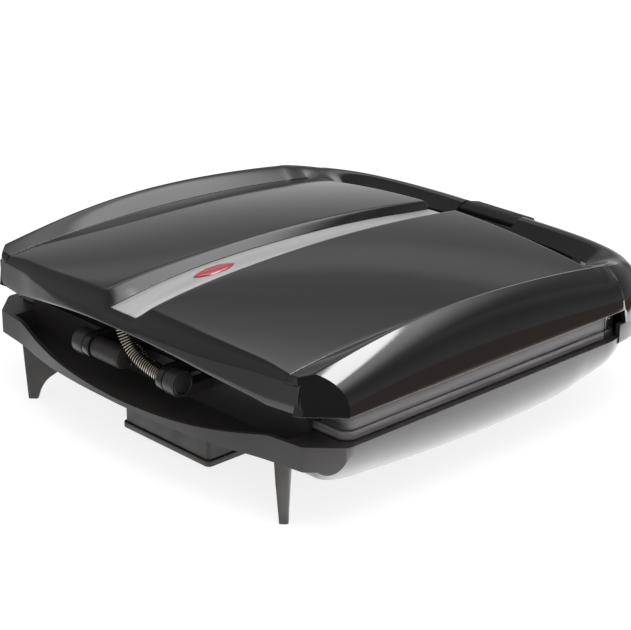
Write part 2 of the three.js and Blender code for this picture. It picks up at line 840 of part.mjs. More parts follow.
function makeBow() {
  const stations = bowStations();
  let bow = loft(stations.map((station) => bowRing(station, 0)));
  const hollow = loft(stations.map((station) => bowRing(station, wall)));
  const core = cuboid(-handleCoreHalf, handleCoreHalf, -frontReach - overrun, -lidFront, 0, rearReach);
  bow = bow.subtract(hollow.subtract(core));
  bow = bow.subtract(shellRoom(gap));
  for (const [, side] of sides) {
    bow = bow.subtract(cornerCut(side, 0)).subtract(rearTrim(side));
    bow = bow.subtract(flangeRun(side, shellHalf + gap, -gap, handleBottom - overrun));
  }
  bow = bow.subtract(runAlongX(clipPocket(), -clipHalf - gap, clipHalf + gap));
  const pivot = clipPivot();
  bow = bow.subtract(
    barAlongX(
      -clipPinReach - gap, clipPinReach + gap, pivot.y, pivot.z, clipPinRadius + pinGap, pinSides,
    ),
  );
  const springBore = latchSpringRadius + latchWireRadius + gap;
  bow = bow.subtract(
    post(0, latchSpringY(), latchSpringSeat, handleTop, springBore, undefined, screwSides),
  );
  addPiece(lidGroup, 'lid_bow', bow, paints.glossBlack);
}

// The conduit's middle line, from the lid down to the hinge axis
function conduitRoute() {
  return conduitBends.map(([x, rise]) => [x, axisY, axisZ + rise]);
}

function clipPivot() {
  return { y: -frontReach + clipPivotDepth, z: handleTop - clipPivotDrop };
}

function latchSpringY() {
  return -frontReach + latchSpringInset;
}

// The room that the clip swings in, in y and z
function clipPocket() {
  const pivot = clipPivot();
  const front = -frontReach + seamGap + gap;
  const floor = pivot.z - clipPivotDepth + seamGap;
  const rear = -frontReach + handleDepth - wall + gap;
  const stepY = pivot.y + clipPivotDepth;
  const top = handleTop + pocketTop;
  return [
    [rear, top], [rear, pivot.z + gap], [stepY, pivot.z + gap], [stepY, floor], [front, floor],
    [front, baseHandleLow], [-frontReach - overrun, baseHandleLow],
    [-frontReach - overrun, top],
  ];
}

function makeLatch() {
  const pivot = clipPivot();
  const front = -frontReach - clipProud;
  const inside = front + clipThick;
  const rear = -frontReach + clipRear;
  const under = handleTop - clipThick - gap;
  const hookZ = baseHandleLow - gap;
  const profile = [
    [rear, handleTop],
    [-frontReach + crestInset, handleTop + seamGap],
    [front + clipKnee, handleTop - clipShoulder],
    [front, pivot.z + clipThick],
    [front, hookZ - clipThick + seamGap],
    [front + seamGap, hookZ - clipThick],
    [front + clipHook, hookZ - clipThick],
    [front + clipHook, hookZ - gap],
    [inside, hookZ],
    [inside, pivot.z - clipHub],
    [pivot.y + clipHub, pivot.z - clipHub],
    [pivot.y + clipHub + gap, under - gap],
    [rear, under],
  ];
  const bore = barAlongX(
    -clipHalf - overrun, clipHalf + overrun, pivot.y, pivot.z, clipPinRadius + 2 * pinGap, pinSides,
  );
  addPiece(
    latchGroup, 'latch_clip', runAlongX(profile, -clipHalf, clipHalf).subtract(bore), paints.mattBlack,
  );
  const pin = barAlongX(-clipPinReach, clipPinReach, pivot.y, pivot.z, clipPinRadius, pinSides);
  addPiece(lidGroup, 'latch_pin', pin, paints.steel);
  const springBottom = latchSpringSeat + gap;
  const springTop = under - seamGap;
  const route = [0, 1, 2, 3].map(
    (step) => [0, latchSpringY(), springBottom + ((springTop - springBottom) * step) / 3],
  );
  addPiece(
    lidGroup,
    'latch_spring',
    coil(route, latchSpringRadius, latchWireRadius, latchSpringTurns, 'latch spring'),
    paints.steel,
  );
}

// A helix of round wire along a route, as one unbroken tube with straight ends
function coil(route, radius, wire, turns, label) {
  const curve = new THREE.CatmullRomCurve3(
    route.map((point) => new THREE.Vector3(...point)),
    false,
    'centripetal',
  );
  const length = curve.getLength();
  const stub = 2 * wire;
  const steps = turns * stepsPerTurn;
  const frames = curve.computeFrenetFrames(steps, false);
  const inset = (stub + wire) / length;
  const line = [];
  for (let step = 0; step <= steps; step += 1) {
    const share = inset + (1 - 2 * inset) * (step / steps);
    const middle = curve.getPointAt(share);
    const frame = Math.round(share * steps);
    const angle = (2 * Math.PI * step) / stepsPerTurn;
    line.push(middle.clone()
      .addScaledVector(frames.normals[frame], radius * Math.cos(angle))
      .addScaledVector(frames.binormals[frame], radius * Math.sin(angle)));
  }
  const first = line[0].clone().addScaledVector(curve.getTangentAt(0), -stub);
  const last = line[steps].clone().addScaledVector(curve.getTangentAt(1), stub);
  const path = [first, ...line, last];
  let least = Infinity;
  for (let i = 0; i < path.length; i += 1) {
    for (let j = i + Math.round(stepsPerTurn * nearTurn); j < path.length; j += 1) {
      least = Math.min(least, path[i].distanceTo(path[j]) - 2 * wire);
    }
  }
  console.log(`${label}: least gap to itself ${least.toFixed(2)} mm over ${turns} turns`);
  const rings = path.map((point, k) => {
    const before = path[Math.max(0, k - 1)];
    const after = path[Math.min(path.length - 1, k + 1)];
    const ahead = after.clone().sub(before).normalize();
    const middle = curve.getPointAt(
      Math.min(1, Math.max(0, inset + (1 - 2 * inset) * ((k - 1) / steps))),
    );
    const out = point.clone().sub(middle).normalize();
    out.addScaledVector(ahead, -out.dot(ahead)).normalize();
    const beside = ahead.clone().cross(out);
    return Array.from({ length: wireSides }, (_, s) => {
      const angle = (2 * Math.PI * s) / wireSides;
      const corner = point.clone().addScaledVector(out, wire * Math.cos(angle)).addScaledVector(
        beside, wire * Math.sin(angle),
      );
      return corner.toArray();
    });
  });
  return tube(rings);
}

// A closed tube through small rings, its ends closed by a fan
function tube(rings) {
  const count = rings[0].length;
  const faces = [];
  for (let ring = 0; ring + 1 < rings.length; ring += 1) {
    for (let k = 0; k < count; k += 1) {
      const a = ring * count + k;
      const b = ring * count + ((k + 1) % count);
      faces.push([a, b, b + count], [a, b + count, a + count]);
    }
  }
  const end = (rings.length - 1) * count;
  for (let k = 1; k + 1 < count; k += 1) {
    faces.push([0, k + 1, k], [end, end + k, end + k + 1]);
  }
  const geometry = new THREE.BufferGeometry();
  geometry.setAttribute('position', new THREE.BufferAttribute(Float32Array.from(rings.flat(2)), 3));
  geometry.setIndex(faces.flat());
  return solid(geometry);
}

function makeStrip() {
  const end = rearEdge(0) - stripRound - gap;
  const stations = [
    end,
    ...stripShares.map(([share]) => placeOf(share)).filter((y) => y < end && y > -lidFront).reverse(),
    -lidFront + gap,
  ];
  let strip = loft(stations.map((y) => {
    const top = stripTop(y);
    const low = top - stripThick;
    return [[-stripHalf, y, low], [stripHalf, y, low], [stripHalf, y, top], [-stripHalf, y, top]];
  }));
  strip = strip.subtract(raised(lensOutline(1, gap), bandHeight, bandHeight + crownRise + overrun));
  addPiece(lidGroup, 'lid_strip', strip, paints.silver);
}

function makeLampAndLens() {
  const level = stripTop(lensMiddle);
  const layers = [
    [1, -stripThick - wall],
    [1, 0],
    ...lensCrown.map(([share, rise]) => [share, lensRise * rise]),
  ];
  const rings = layers.map(
    ([share, rise]) => lensOutline(share, 0).map(([x, y]) => [x, y, stripTop(y) + rise]),
  );
  addPiece(lidGroup, 'pilot_lens', loft(rings, 0, 1), paints.redLens);
  const lampZ = level - lampDrop;
  const lamp = barAlongY(
    0, lensMiddle - lampLength / 2, lensMiddle + lampLength / 2, lampZ, lampRadius, pinSides,
  );
  addPiece(lidGroup, 'pilot_lamp', lamp, paints.clearGlass);
  const holderHalf = lampRadius + wall;
  const holderTop = stripTop(lensMiddle - lensHalfLength / 2) - stripThick - gap - wall - holderGap;
  const holderReach = lampLength / 3;
  let holder = cuboid(
    -holderHalf,
    holderHalf,
    lensMiddle - holderReach,
    lensMiddle + holderReach,
    lampZ - holderHalf,
    holderTop,
  );
  holder = holder.subtract(
    barAlongY(0, lensMiddle - lampLength, lensMiddle + lampLength, lampZ, lampRadius + gap, pinSides),
  );
  holder = holder.subtract(
    cuboid(
      -lampRadius / 2,
      lampRadius / 2,
      lensMiddle - lampLength,
      lensMiddle + lampLength,
      lampZ,
      holderTop + overrun,
    ),
  );
  addPiece(lidGroup, 'lamp_holder', holder, paints.ceramic);
}

// Places of the nut shells in the plates
function nutPlaces() {
  const places = [];
  for (let column = 0; column < nutColumns; column += 1) {
    for (let row = 0; row < nutRows; row += 1) {
      places.push([
        (column - (nutColumns - 1) / 2) * nutPitchX,
        nutMiddle + (row - (nutRows - 1) / 2) * nutPitchY,
      ]);
    }
  }
  return places;
}

// The lower half of an oval dome hanging from a level
function dome(x, y, z, halfX, halfY, depth) {
  const stepsRound = 10;
  const stepsDown = 3;
  const geometry = new THREE.SphereGeometry(1, stepsRound, stepsDown * 2);
  geometry.rotateX(Math.PI / 2);
  geometry.scale(halfX, halfY, depth);
  geometry.translate(x, y, z);
  const above = cuboid(
    x - halfX - overrun,
    x + halfX + overrun,
    y - halfY - overrun,
    y + halfY + overrun,
    z,
    z + depth + overrun,
  );
  return solid(geometry).subtract(above);
}

// A tapering stub behind each nut shell, hanging down (or standing up where depth is negative)
function boss(x, y, z, top, tip, depth) {
  const geometry = new THREE.CylinderGeometry(top, tip, Math.abs(depth), screwSides);
  geometry.rotateX(Math.PI / 2);
  geometry.scale(nutHalfX / nutHalfY, 1, 1);
  geometry.translate(x, y, z - depth / 2);
  return solid(geometry);
}

function plateOutline(half, rear, front, corner) {
  return [
    [-half, -front], [half, -front], [half, rear - corner], [half - corner, rear],
    [-half + corner, rear], [-half, rear - corner],
  ];
}

function makeLowerPlate() {
  const top = plateSeam - seamGap / 2;
  const bottom = rimHeight - ledgeDrop + gap;
  const whole = raised(plateOutline(plateHalf, plateRear, plateFront, plateCorner), bottom, top);
  const hollow = plateOutline(
    plateHalf - edgeWall, plateRear - edgeWall, plateFront - edgeWall, plateCorner,
  );
  let plate = whole.subtract(raised(hollow, bottom - overrun, top - deck));
  for (const [x, y] of nutPlaces()) {
    plate = plate.add(boss(x, y, top - deck / 2, bossTop, bossTip, bossDepth - deck / 2));
  }
  for (const [x, y] of nutPlaces()) {
    plate = plate.subtract(dome(x, y, top, nutHalfX, nutHalfY, nutDepth));
  }
  const stub = top - deck - heaterSink - seamGap;
  for (const [, side] of sides) {
    plate = plate.add(
      post(side * reflectorScrewX, nutMiddle, stub, top - deck / 2, postRadius, postRadius, screwSides),
    );
    plate = plate.subtract(
      post(
        side * reflectorScrewX,
        nutMiddle,
        stub - overrun,
        stub + trayScrewLength,
        screwRadius + gap,
        undefined,
        screwSides,
      ),
    );
    for (const y of [screwRearY, screwFrontY]) {
      plate = plate.subtract(screwHole(side * screwX, y, top, -1));
    }
  }
  addPiece(baseGroup, 'lower_plate', plate, paints.plateCoat);
}

// A countersunk hole from a plate's cooking face, down (-1) or up (1) from it
function screwHole(x, y, face, way) {
  const seat = screwHeadHigh + gap;
  const z = [face - way * overrun, face + way * seat].sort((a, b) => a - b);
  const far = [face, face + way * boreDepth].sort((a, b) => a - b);
  const head = post(x, y, z[0], z[1], screwHead + gap, undefined, screwSides);
  return head.add(post(x, y, far[0], far[1], screwRadius + gap, undefined, screwSides));
}

function makePlateScrew(group, name, x, y, face, way, length) {
  const sink = face + way * sinkDepth;
  const head = [sink, sink + way * screwHeadHigh].sort((a, b) => a - b);
  const shank = [sink + way * seamGap, sink + way * length].sort((a, b) => a - b);
  const screw = post(x, y, head[0], head[1], screwHead, undefined, screwSides)
    .add(post(x, y, shank[0], shank[1], screwRadius, undefined, screwSides));
  addPiece(group, name, screw, paints.steel);
}

function makeUpperPlate() {
  const low = plateSeam + seamGap / 2;
  const top = bandHeight - gap;
  const whole = raised(plateOutline(plateHalf, plateRear, plateFront, plateCorner), low, top);
  const hollow = plateOutline(
    plateHalf - edgeWall, plateRear - edgeWall, plateFront - edgeWall, plateCorner,
  );
  let plate = whole.subtract(raised(hollow, low + deck, top + overrun));
  for (const [x, y] of nutPlaces()) {
    plate = plate.add(
      dome(
        x, y, low + deck / 2, nutHalfX - shellGap, nutHalfY - shellGap, nutDepth - shellGap + deck / 2,
      ),
    );
  }
  for (const [x, y] of nutPlaces()) {
    plate = plate.subtract(boss(x, y, low + deck + gap, bossTip, bossTip / 2, deck + nutDepth / 2));
  }
  const reflectorLevel = upperReflectorLevel();
  for (const [, side] of sides) {
    plate = plate.add(
      post(
        side * reflectorScrewX,
        nutMiddle,
        low + deck / 2,
        reflectorLevel - gap,
        postRadius,
        postRadius,
        screwSides,
      ),
    );
    plate = plate.subtract(
      post(
        side * reflectorScrewX,
        nutMiddle,
        reflectorLevel - trayScrewLength,
        reflectorLevel,
        screwRadius + gap,
        undefined,
        screwSides,
      ),
    );
    for (const y of [screwRearY, screwFrontY]) {
      plate = plate.add(
        post(side * screwX, y, low + deck / 2, bandHeight - gap, postRadius, postRadius, screwSides),
      );
      plate = plate.subtract(screwHole(side * screwX, y, low, 1));
    }
  }
  addPiece(lidGroup, 'upper_plate', plate, paints.plateCoat);
}

function upperReflectorLevel() {
  return plateSeam + deck + 2 * heaterRadius + seamGap + seamGap + wall;
}

function lowerReflectorLevel() {
  return plateSeam - deck - bossDepth - wall;
}

// A tubular heater that runs between the rows of nut shells
function makeHeater(group, name, z) {
  const rowStep = nutPitchY;
  const outX = 2 * nutPitchX;
  const corners = [
    [nutPitchX, plateRear - heaterTailIn], [nutPitchX, nutMiddle + rowStep], [outX, nutMiddle + rowStep], [
      outX, nutMiddle - rowStep,
    ],
    [-outX, nutMiddle - rowStep], [-outX, nutMiddle + rowStep], [-nutPitchX, nutMiddle + rowStep], [
      -nutPitchX, plateRear - heaterTailIn,
    ],
  ].map(([x, y]) => new THREE.Vector2(x, y));
  const rings = [];
  const ringAt = (point, direction) => {
    const side = new THREE.Vector2(direction.y, -direction.x);
    const ring = [];
    const count = 6;
    for (let k = 0; k < count; k += 1) {
      const angle = (2 * Math.PI * (k + 1 / 2)) / count;
      const across = heaterRadius * Math.cos(angle);
      ring.push(
        [point.x + side.x * across, point.y + side.y * across, z + heaterRadius * Math.sin(angle)],
      );
    }
    rings.push(ring);
  };
  const last = corners.length - 1;
  ringAt(corners[0], corners[1].clone().sub(corners[0]).normalize());
  for (let k = 1; k < last; k += 1) {
    const into = corners[k].clone().sub(corners[k - 1]).normalize();
    const out = corners[k + 1].clone().sub(corners[k]).normalize();
    const start = corners[k].clone().addScaledVector(into, -heaterBend);
    const bendSteps = 3;
    for (let step = 0; step <= bendSteps; step += 1) {
      const angle = ((step / bendSteps) * Math.PI) / 2;
      const point = start.clone()
        .addScaledVector(into, heaterBend * Math.sin(angle))
        .addScaledVector(out, heaterBend * (1 - Math.cos(angle)));
      ringAt(point, into.clone().multiplyScalar(Math.cos(angle)).addScaledVector(out, Math.sin(angle)));
    }
  }
  ringAt(corners[last], corners[last].clone().sub(corners[last - 1]).normalize());
  addPiece(group, name, tube(rings), paints.steel);
}

// A shallow sheet tray that throws the heat back at a plate; way is its rim's direction
function makeReflector(group, name, level, rear, front, way) {
  const rim = [level, level + way * reflectorRim].sort((a, b) => a - b);
  const floor = [level + way * reflectorThick, level + way * (reflectorRim + overrun)].sort((a, b) => a - b);
  const outside = plateOutline(reflectorHalf, rear, front, plateCorner);
  const inside = plateOutline(
    reflectorHalf - reflectorThick, rear - reflectorThick, front - reflectorThick, plateCorner,
  );
  let tray = raised(outside, rim[0], rim[1]).subtract(raised(inside, floor[0], floor[1]));
  for (const [, side] of sides) {
    tray = tray.subtract(
      post(
        side * reflectorScrewX,
        nutMiddle,
        level - overrun,
        level + overrun,
        screwRadius + gap,
        undefined,
        screwSides,
      ),
    );
  }
  addPiece(group, name, tray, paints.bareAluminium);
}

function makeThermostat() {
  const top = plateSeam - seamGap / 2 - deck - gap;
  const body = post(0, nutMiddle, top - thermostatDepth, top, thermostatRadius);
  addPiece(baseGroup, 'thermostat', body, paints.steel);
}

function makeFuse() {
  const z = plateSeam + seamGap / 2 + deck + gap + fuseRadius;
  const fuse = barAlongY(
    0, nutMiddle - fuseLength / 2, nutMiddle + fuseLength / 2, z, fuseRadius, screwSides,
  );
  addPiece(lidGroup, 'thermal_fuse', fuse, paints.ceramic);
}

// Height of the belly's lowest line along the base
function bellyLow(y) {
  return bellyBottom + (rimHeight - bellyBottom) * lookUp(bellyShares, shareOf(y));
}

function bellyRing(y, inset, top) {
  const low = bellyLow(y) + inset;
  const half = halfWidth * lookUp(hullNoseShares, shareOf(y)) - gap - inset;
  const round = Math.min(bellyRound, top - low - seamGap) - gap;
  const arcSteps = 4;
  const ring = [[half, top]];
  for (let step = 0; step <= arcSteps; step += 1) {
    const angle = ((step / arcSteps) * Math.PI) / 2;
    ring.push([half - round * (1 - Math.cos(angle)), low + round * (1 - Math.sin(angle))]);
  }
  const mirrored = ring.map(([x, z]) => [-x, z]).reverse();
  return [...ring, ...mirrored].map(([x, z]) => [x, y, z]);
}

// The closed outer form of the base, before it is hollowed
function hullForm() {
  const stations = bellyShares.map(([share]) => placeOf(share));
  const belly = loft(stations.map((y) => bellyRing(y, 0, rimHeight)));
  const columns = rearShares.map(([share]) => share * sweepHalf);
  const both = [...columns.slice(1).map((x) => -x).reverse(), ...columns];
  const start = innerWallY - wall;
  const rear = block(
    both,
    [0, 1],
    (x, row) => (row ? rearEdge(x) : start),
    () => rimHeight,
    () => rearBandBottom,
  );
  let hull = belly.add(rear);
  for (const [, side] of sides) {
    const x = [side * sweepHalf, side * bandCorner].sort((a, b) => a - b);
    hull = hull.add(cuboid(x[0], x[1], start, rearEdge(sweepHalf), rearBandBottom, rimHeight));
    hull = hull.subtract(cornerCut(side, sinkDepth));
  }
  return hull;
}

function makeBaseShell(hull) {
  const ledge = rimHeight - ledgeDrop;
  const stations = bellyShares.map(([share]) => placeOf(share)).slice(1, -2);
  let shell = hull.subtract(loft(stations.map((y) => bellyRing(y, wall, ledge - wall))));
  const openFront = plateFront - overrun;
  const openRear = plateRear - overrun;
  shell = shell.subtract(
    raised(
      plateOutline(ledgeInner, openRear, openFront, plateCorner), troughFloor, rimHeight + overrun,
    ),
  );
  shell = shell.subtract(
    raised(
      plateOutline(plateHalf + ledgeOver, plateRear + gap, plateFront + gap, plateCorner),
      ledge,
      rimHeight + overrun,
    ),
  );

  // Hinge trough with its low rear edge, then the wall ahead of it
  const columns = panelColumnShares.map((share) => share * troughHalf);
  const trough = block(
    columns,
    [0, 1],
    (x, row) => (row ? rearEdge(x) - wall : innerWallY + wall),
    () => rimHeight + overrun,
    () => troughFloor,
  );
  shell = shell.subtract(trough);
  const smile = [];
  const smileSteps = 10;
  for (let step = 0; step <= smileSteps; step += 1) {
    const share = -1 + (2 * step) / smileSteps;
    smile.push([archHalf * share, rimHeight - smileDrop * (1 - share * share)]);
  }
  smile.push([archHalf, rimHeight + overrun], [-archHalf, rimHeight + overrun]);
  shell = shell.subtract(runAlongY(smile, innerWallY + wall, rearReach + overrun));
  const inner = ledge - wall;
  shell = shell.add(
    cuboid(-troughHalf, troughHalf, innerWallY, innerWallY + wall, inner, innerWallTop),
  );

  // Front brackets that meet the lid's, and the wall between them
  const armStart = innerWallY + weld;
  const armLow = axisZ - knuckleRadius;
  const skirtTop = plateSeam - gap;
  const skirtY = -plateFront - gap;
  shell = shell.add(cuboid(-skirtHalf, skirtHalf, skirtY - skirtThick, skirtY, inner, skirtTop));
  for (const [, side] of sides) {
    const x = [side * skirtHalf, side * (skirtHalf - bracketDepth)].sort((a, b) => a - b);
    shell = shell.add(cuboid(x[0], x[1], skirtY - bracketDepth, skirtY, inner, skirtTop));

    // Hinge knuckles on arms from the wall, then posts for plate screws and reflector
    const hinge = [side * (knuckleOuter + seamGap), side * postOuter].sort((a, b) => a - b);
    shell = shell.add(cuboid(hinge[0], hinge[1], armStart, axisY, armLow, innerWallTop));
    shell = shell.add(barAlongX(hinge[0], hinge[1], axisY, axisZ, knuckleRadius));
    const bore = side > 0 ? hingePinRadius + pinGap : bushRadius + pinGap;
    shell = shell.subtract(barAlongX(hinge[0] - gap, hinge[1] + overrun, axisY, axisZ, bore));
    for (const y of [screwRearY, screwFrontY]) {
      const top = plateSeam - seamGap / 2 - deck - gap;
      shell = shell.add(
        post(side * screwX, y, bellyLow(y) + weld, top, postRadius + seamGap, undefined, screwSides),
      );
      shell = shell.subtract(
        post(
          side * screwX, y, top - boreDepth, top + overrun, screwRadius + gap, undefined, screwSides,
        ),
      );
    }
    const trayEnds = [
      plateRear - lowerTrayRearIn - reflectorPostIn, lowerTrayFrontIn + reflectorPostIn - plateFront,
    ];
    for (const y of trayEnds) {
      const x = side * (reflectorHalf - reflectorPostIn);
      shell = shell.add(
        post(x, y, bellyLow(y) + weld, lowerReflectorLevel() - gap, postRadius, undefined, screwSides),
      );
    }
  }

  // The left tube that covers the pin lies against a rest on the wall
  const restEnd = axisY - tubeRadius - gap;
  shell = shell.add(
    cuboid(tubeInner + wall, tubeOuter - wall, armStart, restEnd, armLow, innerWallTop),
  );
  const wireX = [boxMiddle - wireSlotHalf, boxMiddle + wireSlotHalf];
  shell = shell.subtract(
    cuboid(wireX[0], wireX[1], blockRear() - blockDeep, blockRear(), 0, troughFloor - wireSlotUnder),
  );
  addPiece(baseGroup, 'base_shell', shell, paints.glossBlack);
}

function blockRear() {
  return boxRear - blockInset;
}

function makeHinge() {
  const left = barAlongX(tubeInner + wall, postOuter, axisY, axisZ, hingePinRadius);
  addPiece(baseGroup, 'hinge_pin', left, paints.steel);
  const cover = barAlongX(tubeInner, tubeOuter, axisY, axisZ, tubeRadius)
    .subtract(
      barAlongX(tubeInner + wall - gap, tubeOuter + overrun, axisY, axisZ, hingePinRadius + pinGap),
    );
  addPiece(baseGroup, 'hinge_tube', cover, paints.mattBlack);
  const bush = barAlongX(-postOuter - bushOver, -knuckleInner + gap, axisY, axisZ, bushRadius)
    .subtract(barAlongX(-postOuter - overrun, 0, axisY, axisZ, bushBore));
  addPiece(baseGroup, 'hinge_bush', bush, paints.mattBlack);
}

function makeBaseHandle(hull) {
  const top = handleSplit;
  const low = baseHandleLow;
  const front = seamGap + gap;
  const ring = (station, inset) => {
    const inside = handleDepth - front - inset;
    const section = inset > 0
      ? [
        [front + inset, top + overrun],
        [front + inset, low + inset],
        [inside - flange, low + inset],
        [inside, low + flange + inset],
        [inside, top + overrun],
      ]
      : [[front, top], [front, low], [inside - flange, low], [inside, low + flange], [inside, top]];
    return section.map(([u, z]) => [station.x - station.nx * u, station.y - station.ny * u, z]);
  };
  const half = (side) => cornerTurnShares.map((turn) => outline(side, turn));
  const stations = [...half(1), ...half(-1).slice(0, -1).reverse()];
  let handle = loft(stations.map((station) => ring(station, 0)));
  const hollow = loft(stations.slice(1, -1).map((station) => ring(station, wall)));
  const core = cuboid(-handleCoreHalf, handleCoreHalf, -frontReach, -lidFront, 0, rearReach);
  handle = handle.subtract(hollow.subtract(core));
  handle = handle.subtract(hull);
  const bracketFront = -plateFront - bracketDepth - seamGap;
  handle = handle.subtract(cuboid(-halfWidth, halfWidth, bracketFront, 0, 0, rearReach));
  addPiece(baseGroup, 'base_handle', handle, paints.glossBlack);
}

function makeLegs(hull) {
  const sunk = hull.translate([0, 0, -gap]);
  for (const [name, side] of sides) {
    const rings = legShares.map(([heightShare, wideShare, thickShare]) => {
      const z = rearBandBottom * heightShare;
      const lean = z * legLean;
      const outX = legFootOut + lean * legSplay;
      const outY = legFootY + lean;
      const wide = legWide * wideShare;
      const thick = (legThick * thickShare) / 2;
      const along = [-Math.SQRT1_2, -Math.SQRT1_2];
      const across = [-Math.SQRT1_2, Math.SQRT1_2];
      return [[0, -1], [0, 1], [1, 1], [1, -1]].map(([run, cross]) => [
        side * (outX + along[0] * wide * run + across[0] * thick * cross),
        outY + along[1] * wide * run + across[1] * thick * cross,
        z,
      ]);
    });
    addPiece(baseGroup, `rear_leg_${name}`, loft(rings, 0, 1).subtract(sunk), paints.mattBlack);
    const foot = post(side * frontFootX, -frontFootY, padHeight + gap, rearBandBottom, footRadius, footTopRadius).subtract(sunk);
    addPiece(baseGroup, `front_foot_${name}`, foot, paints.mattBlack);
    const pad = post(side * frontFootX, -frontFootY, 0, padHeight, footRadius - gap);
    addPiece(baseGroup, `foot_pad_${name}`, pad, paints.rubber);
  }
}

function makeTerminalBox(hull) {
  const left = boxMiddle + boxHalf;
  const right = boxMiddle - boxHalf;
  const front = boxRear - boxDepth;
  let box = cuboid(right, left, front, boxRear, boxBottom, rearBandBottom).subtract(
    hull.translate([0, 0, -gap]),
  );
  box = box.subtract(
    cuboid(right + wall, left - wall, front + wall, boxRear - wall, 0, rearBandBottom + overrun),
  );
  const glandY = rearReach * glandShare;
  const glandZ = boxBottom + glandRise;
  box = box.subtract(
    barAlongX(left - wall - gap, left + overrun, glandY, glandZ, glandNeck + gap, pinSides),
  );
  addPiece(baseGroup, 'terminal_box', box, paints.mattBlack);
  const coverTop = boxBottom - gap;
  const cover = cuboid(
    right - coverLip,
    left + coverLip,
    front - coverLip,
    boxRear + coverLip,
    coverTop - coverThick,
    coverTop,
  );
  addPiece(baseGroup, 'terminal_cover', cover, paints.mattBlack);
  const gland = barAlongX(left + gap, left + glandOut, glandY, glandZ, glandRadius, pinSides)
    .add(barAlongX(left - glandIn, left + seamGap, glandY, glandZ, glandNeck, pinSides))
    .subtract(
      barAlongX(
        left - glandIn - overrun, left + glandOut + overrun, glandY, glandZ, glandBore, pinSides,
      ),
    );
  addPiece(baseGroup, 'cord_gland', gland, paints.rubber);
  const rear = blockRear();
  const block = cuboid(
    boxMiddle - blockHalf,
    boxMiddle + blockHalf,
    rear - blockDeep,
    rear,
    boxBottom,
    boxBottom + blockHigh,
  );
  addPiece(baseGroup, 'terminal_block', block, paints.ceramic);
}

makeLidShell();
makeBow();
makeStrip();
makeLampAndLens();
makeUpperPlate();
makeHeater(lidGroup, 'upper_heater', plateSeam + seamGap / 2 + deck + gap + heaterRadius);
makeReflector(
  lidGroup,
  'upper_reflector',
  upperReflectorLevel(),
  plateRear - upperTrayIn,
  plateFront - upperTrayIn,
  1,
);
makeFuse();
makeLatch();

const hull = hullForm();
makeBaseShell(hull);
makeBaseHandle(hull);
makeLowerPlate();
makeHeater(baseGroup, 'lower_heater', plateSeam - seamGap / 2 - heaterSink);
makeReflector(
  baseGroup,
  'lower_reflector',
  lowerReflectorLevel(),
  plateRear - lowerTrayRearIn,
  plateFront - lowerTrayFrontIn,
  1,
);
makeThermostat();
makeHinge();
makeLegs(hull);
makeTerminalBox(hull);

for (const [name, side] of sides) {
  const lowerFace = plateSeam - seamGap / 2;
  const upperFace = plateSeam + seamGap / 2;
  for (const [end, y] of [['rear', screwRearY], ['front', screwFrontY]]) {
    makePlateScrew(
      baseGroup, `lower_screw_${end}_${name}`, side * screwX, y, lowerFace, -1, lowerScrewLength,
    );
    makePlateScrew(
      lidGroup, `upper_screw_${end}_${name}`, side * screwX, y, upperFace, 1, upperScrewLength,
    );
  }
  const lowerSeat = lowerReflectorLevel() - gap - screwHeadHigh;
  makePlateScrew(
    baseGroup,
    `lower_tray_screw_${name}`,
    side * reflectorScrewX,
    nutMiddle,
    lowerSeat,
    1,
    trayScrewLength,
  );
  const upperSeat = upperReflectorLevel() + reflectorThick + gap + screwHeadHigh;
  makePlateScrew(
    lidGroup,
    `upper_tray_screw_${name}`,
    side * reflectorScrewX,
    nutMiddle,
    upperSeat,
    -1,
    trayScrewLength,
  );
}
addPiece(
  baseGroup,
  'conduit_spring',
  coil(conduitRoute(), conduitRadius, conduitWire, conduitTurns, 'conduit'),
  paints.steel,
);

// Centre the whole on the origin, front to back
root.position.y = (frontReach + clipProud - rearReach) / 2;

export default root;
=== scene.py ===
"""Looks of a walnut cookie maker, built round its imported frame.

Shapes are drawn in design millimetres, with the hinge towards +Y and y = 0 near the
middle of the moulding plates, and turned into metres of the frame when a mesh is made.
"""

from __future__ import annotations

import sys
import logging
import math
from collections.abc import Sequence
from dataclasses import dataclass, replace
from enum import Enum
from functools import lru_cache

import bmesh
import bpy
import numpy as np
from mathutils import Matrix, Vector, noise


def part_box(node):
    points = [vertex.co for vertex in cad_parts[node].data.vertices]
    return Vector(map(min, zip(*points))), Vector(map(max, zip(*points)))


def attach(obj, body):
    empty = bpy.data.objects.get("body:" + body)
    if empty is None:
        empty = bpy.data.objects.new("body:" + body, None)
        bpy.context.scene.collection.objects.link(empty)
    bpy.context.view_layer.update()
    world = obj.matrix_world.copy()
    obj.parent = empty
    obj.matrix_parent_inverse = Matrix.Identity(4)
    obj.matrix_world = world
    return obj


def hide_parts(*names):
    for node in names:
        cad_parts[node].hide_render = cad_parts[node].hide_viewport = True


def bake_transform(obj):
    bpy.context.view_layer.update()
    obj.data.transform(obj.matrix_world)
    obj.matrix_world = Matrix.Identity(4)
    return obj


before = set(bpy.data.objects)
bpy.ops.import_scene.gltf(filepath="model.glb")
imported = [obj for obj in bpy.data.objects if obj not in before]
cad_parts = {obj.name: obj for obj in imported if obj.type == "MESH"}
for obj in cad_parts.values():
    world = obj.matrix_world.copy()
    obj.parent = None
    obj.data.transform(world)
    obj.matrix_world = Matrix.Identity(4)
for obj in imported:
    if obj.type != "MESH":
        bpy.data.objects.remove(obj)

LOG = logging.getLogger("cookie_maker")
MM = 0.001
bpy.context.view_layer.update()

Pair = tuple[float, float]
Place = tuple[float, float, float]
Stand = tuple[float, float, float, float]
Outline = list[Pair]
Colour = Place
Values = np.ndarray | float
Node = bpy.types.Node
Socket = bpy.types.NodeSocket


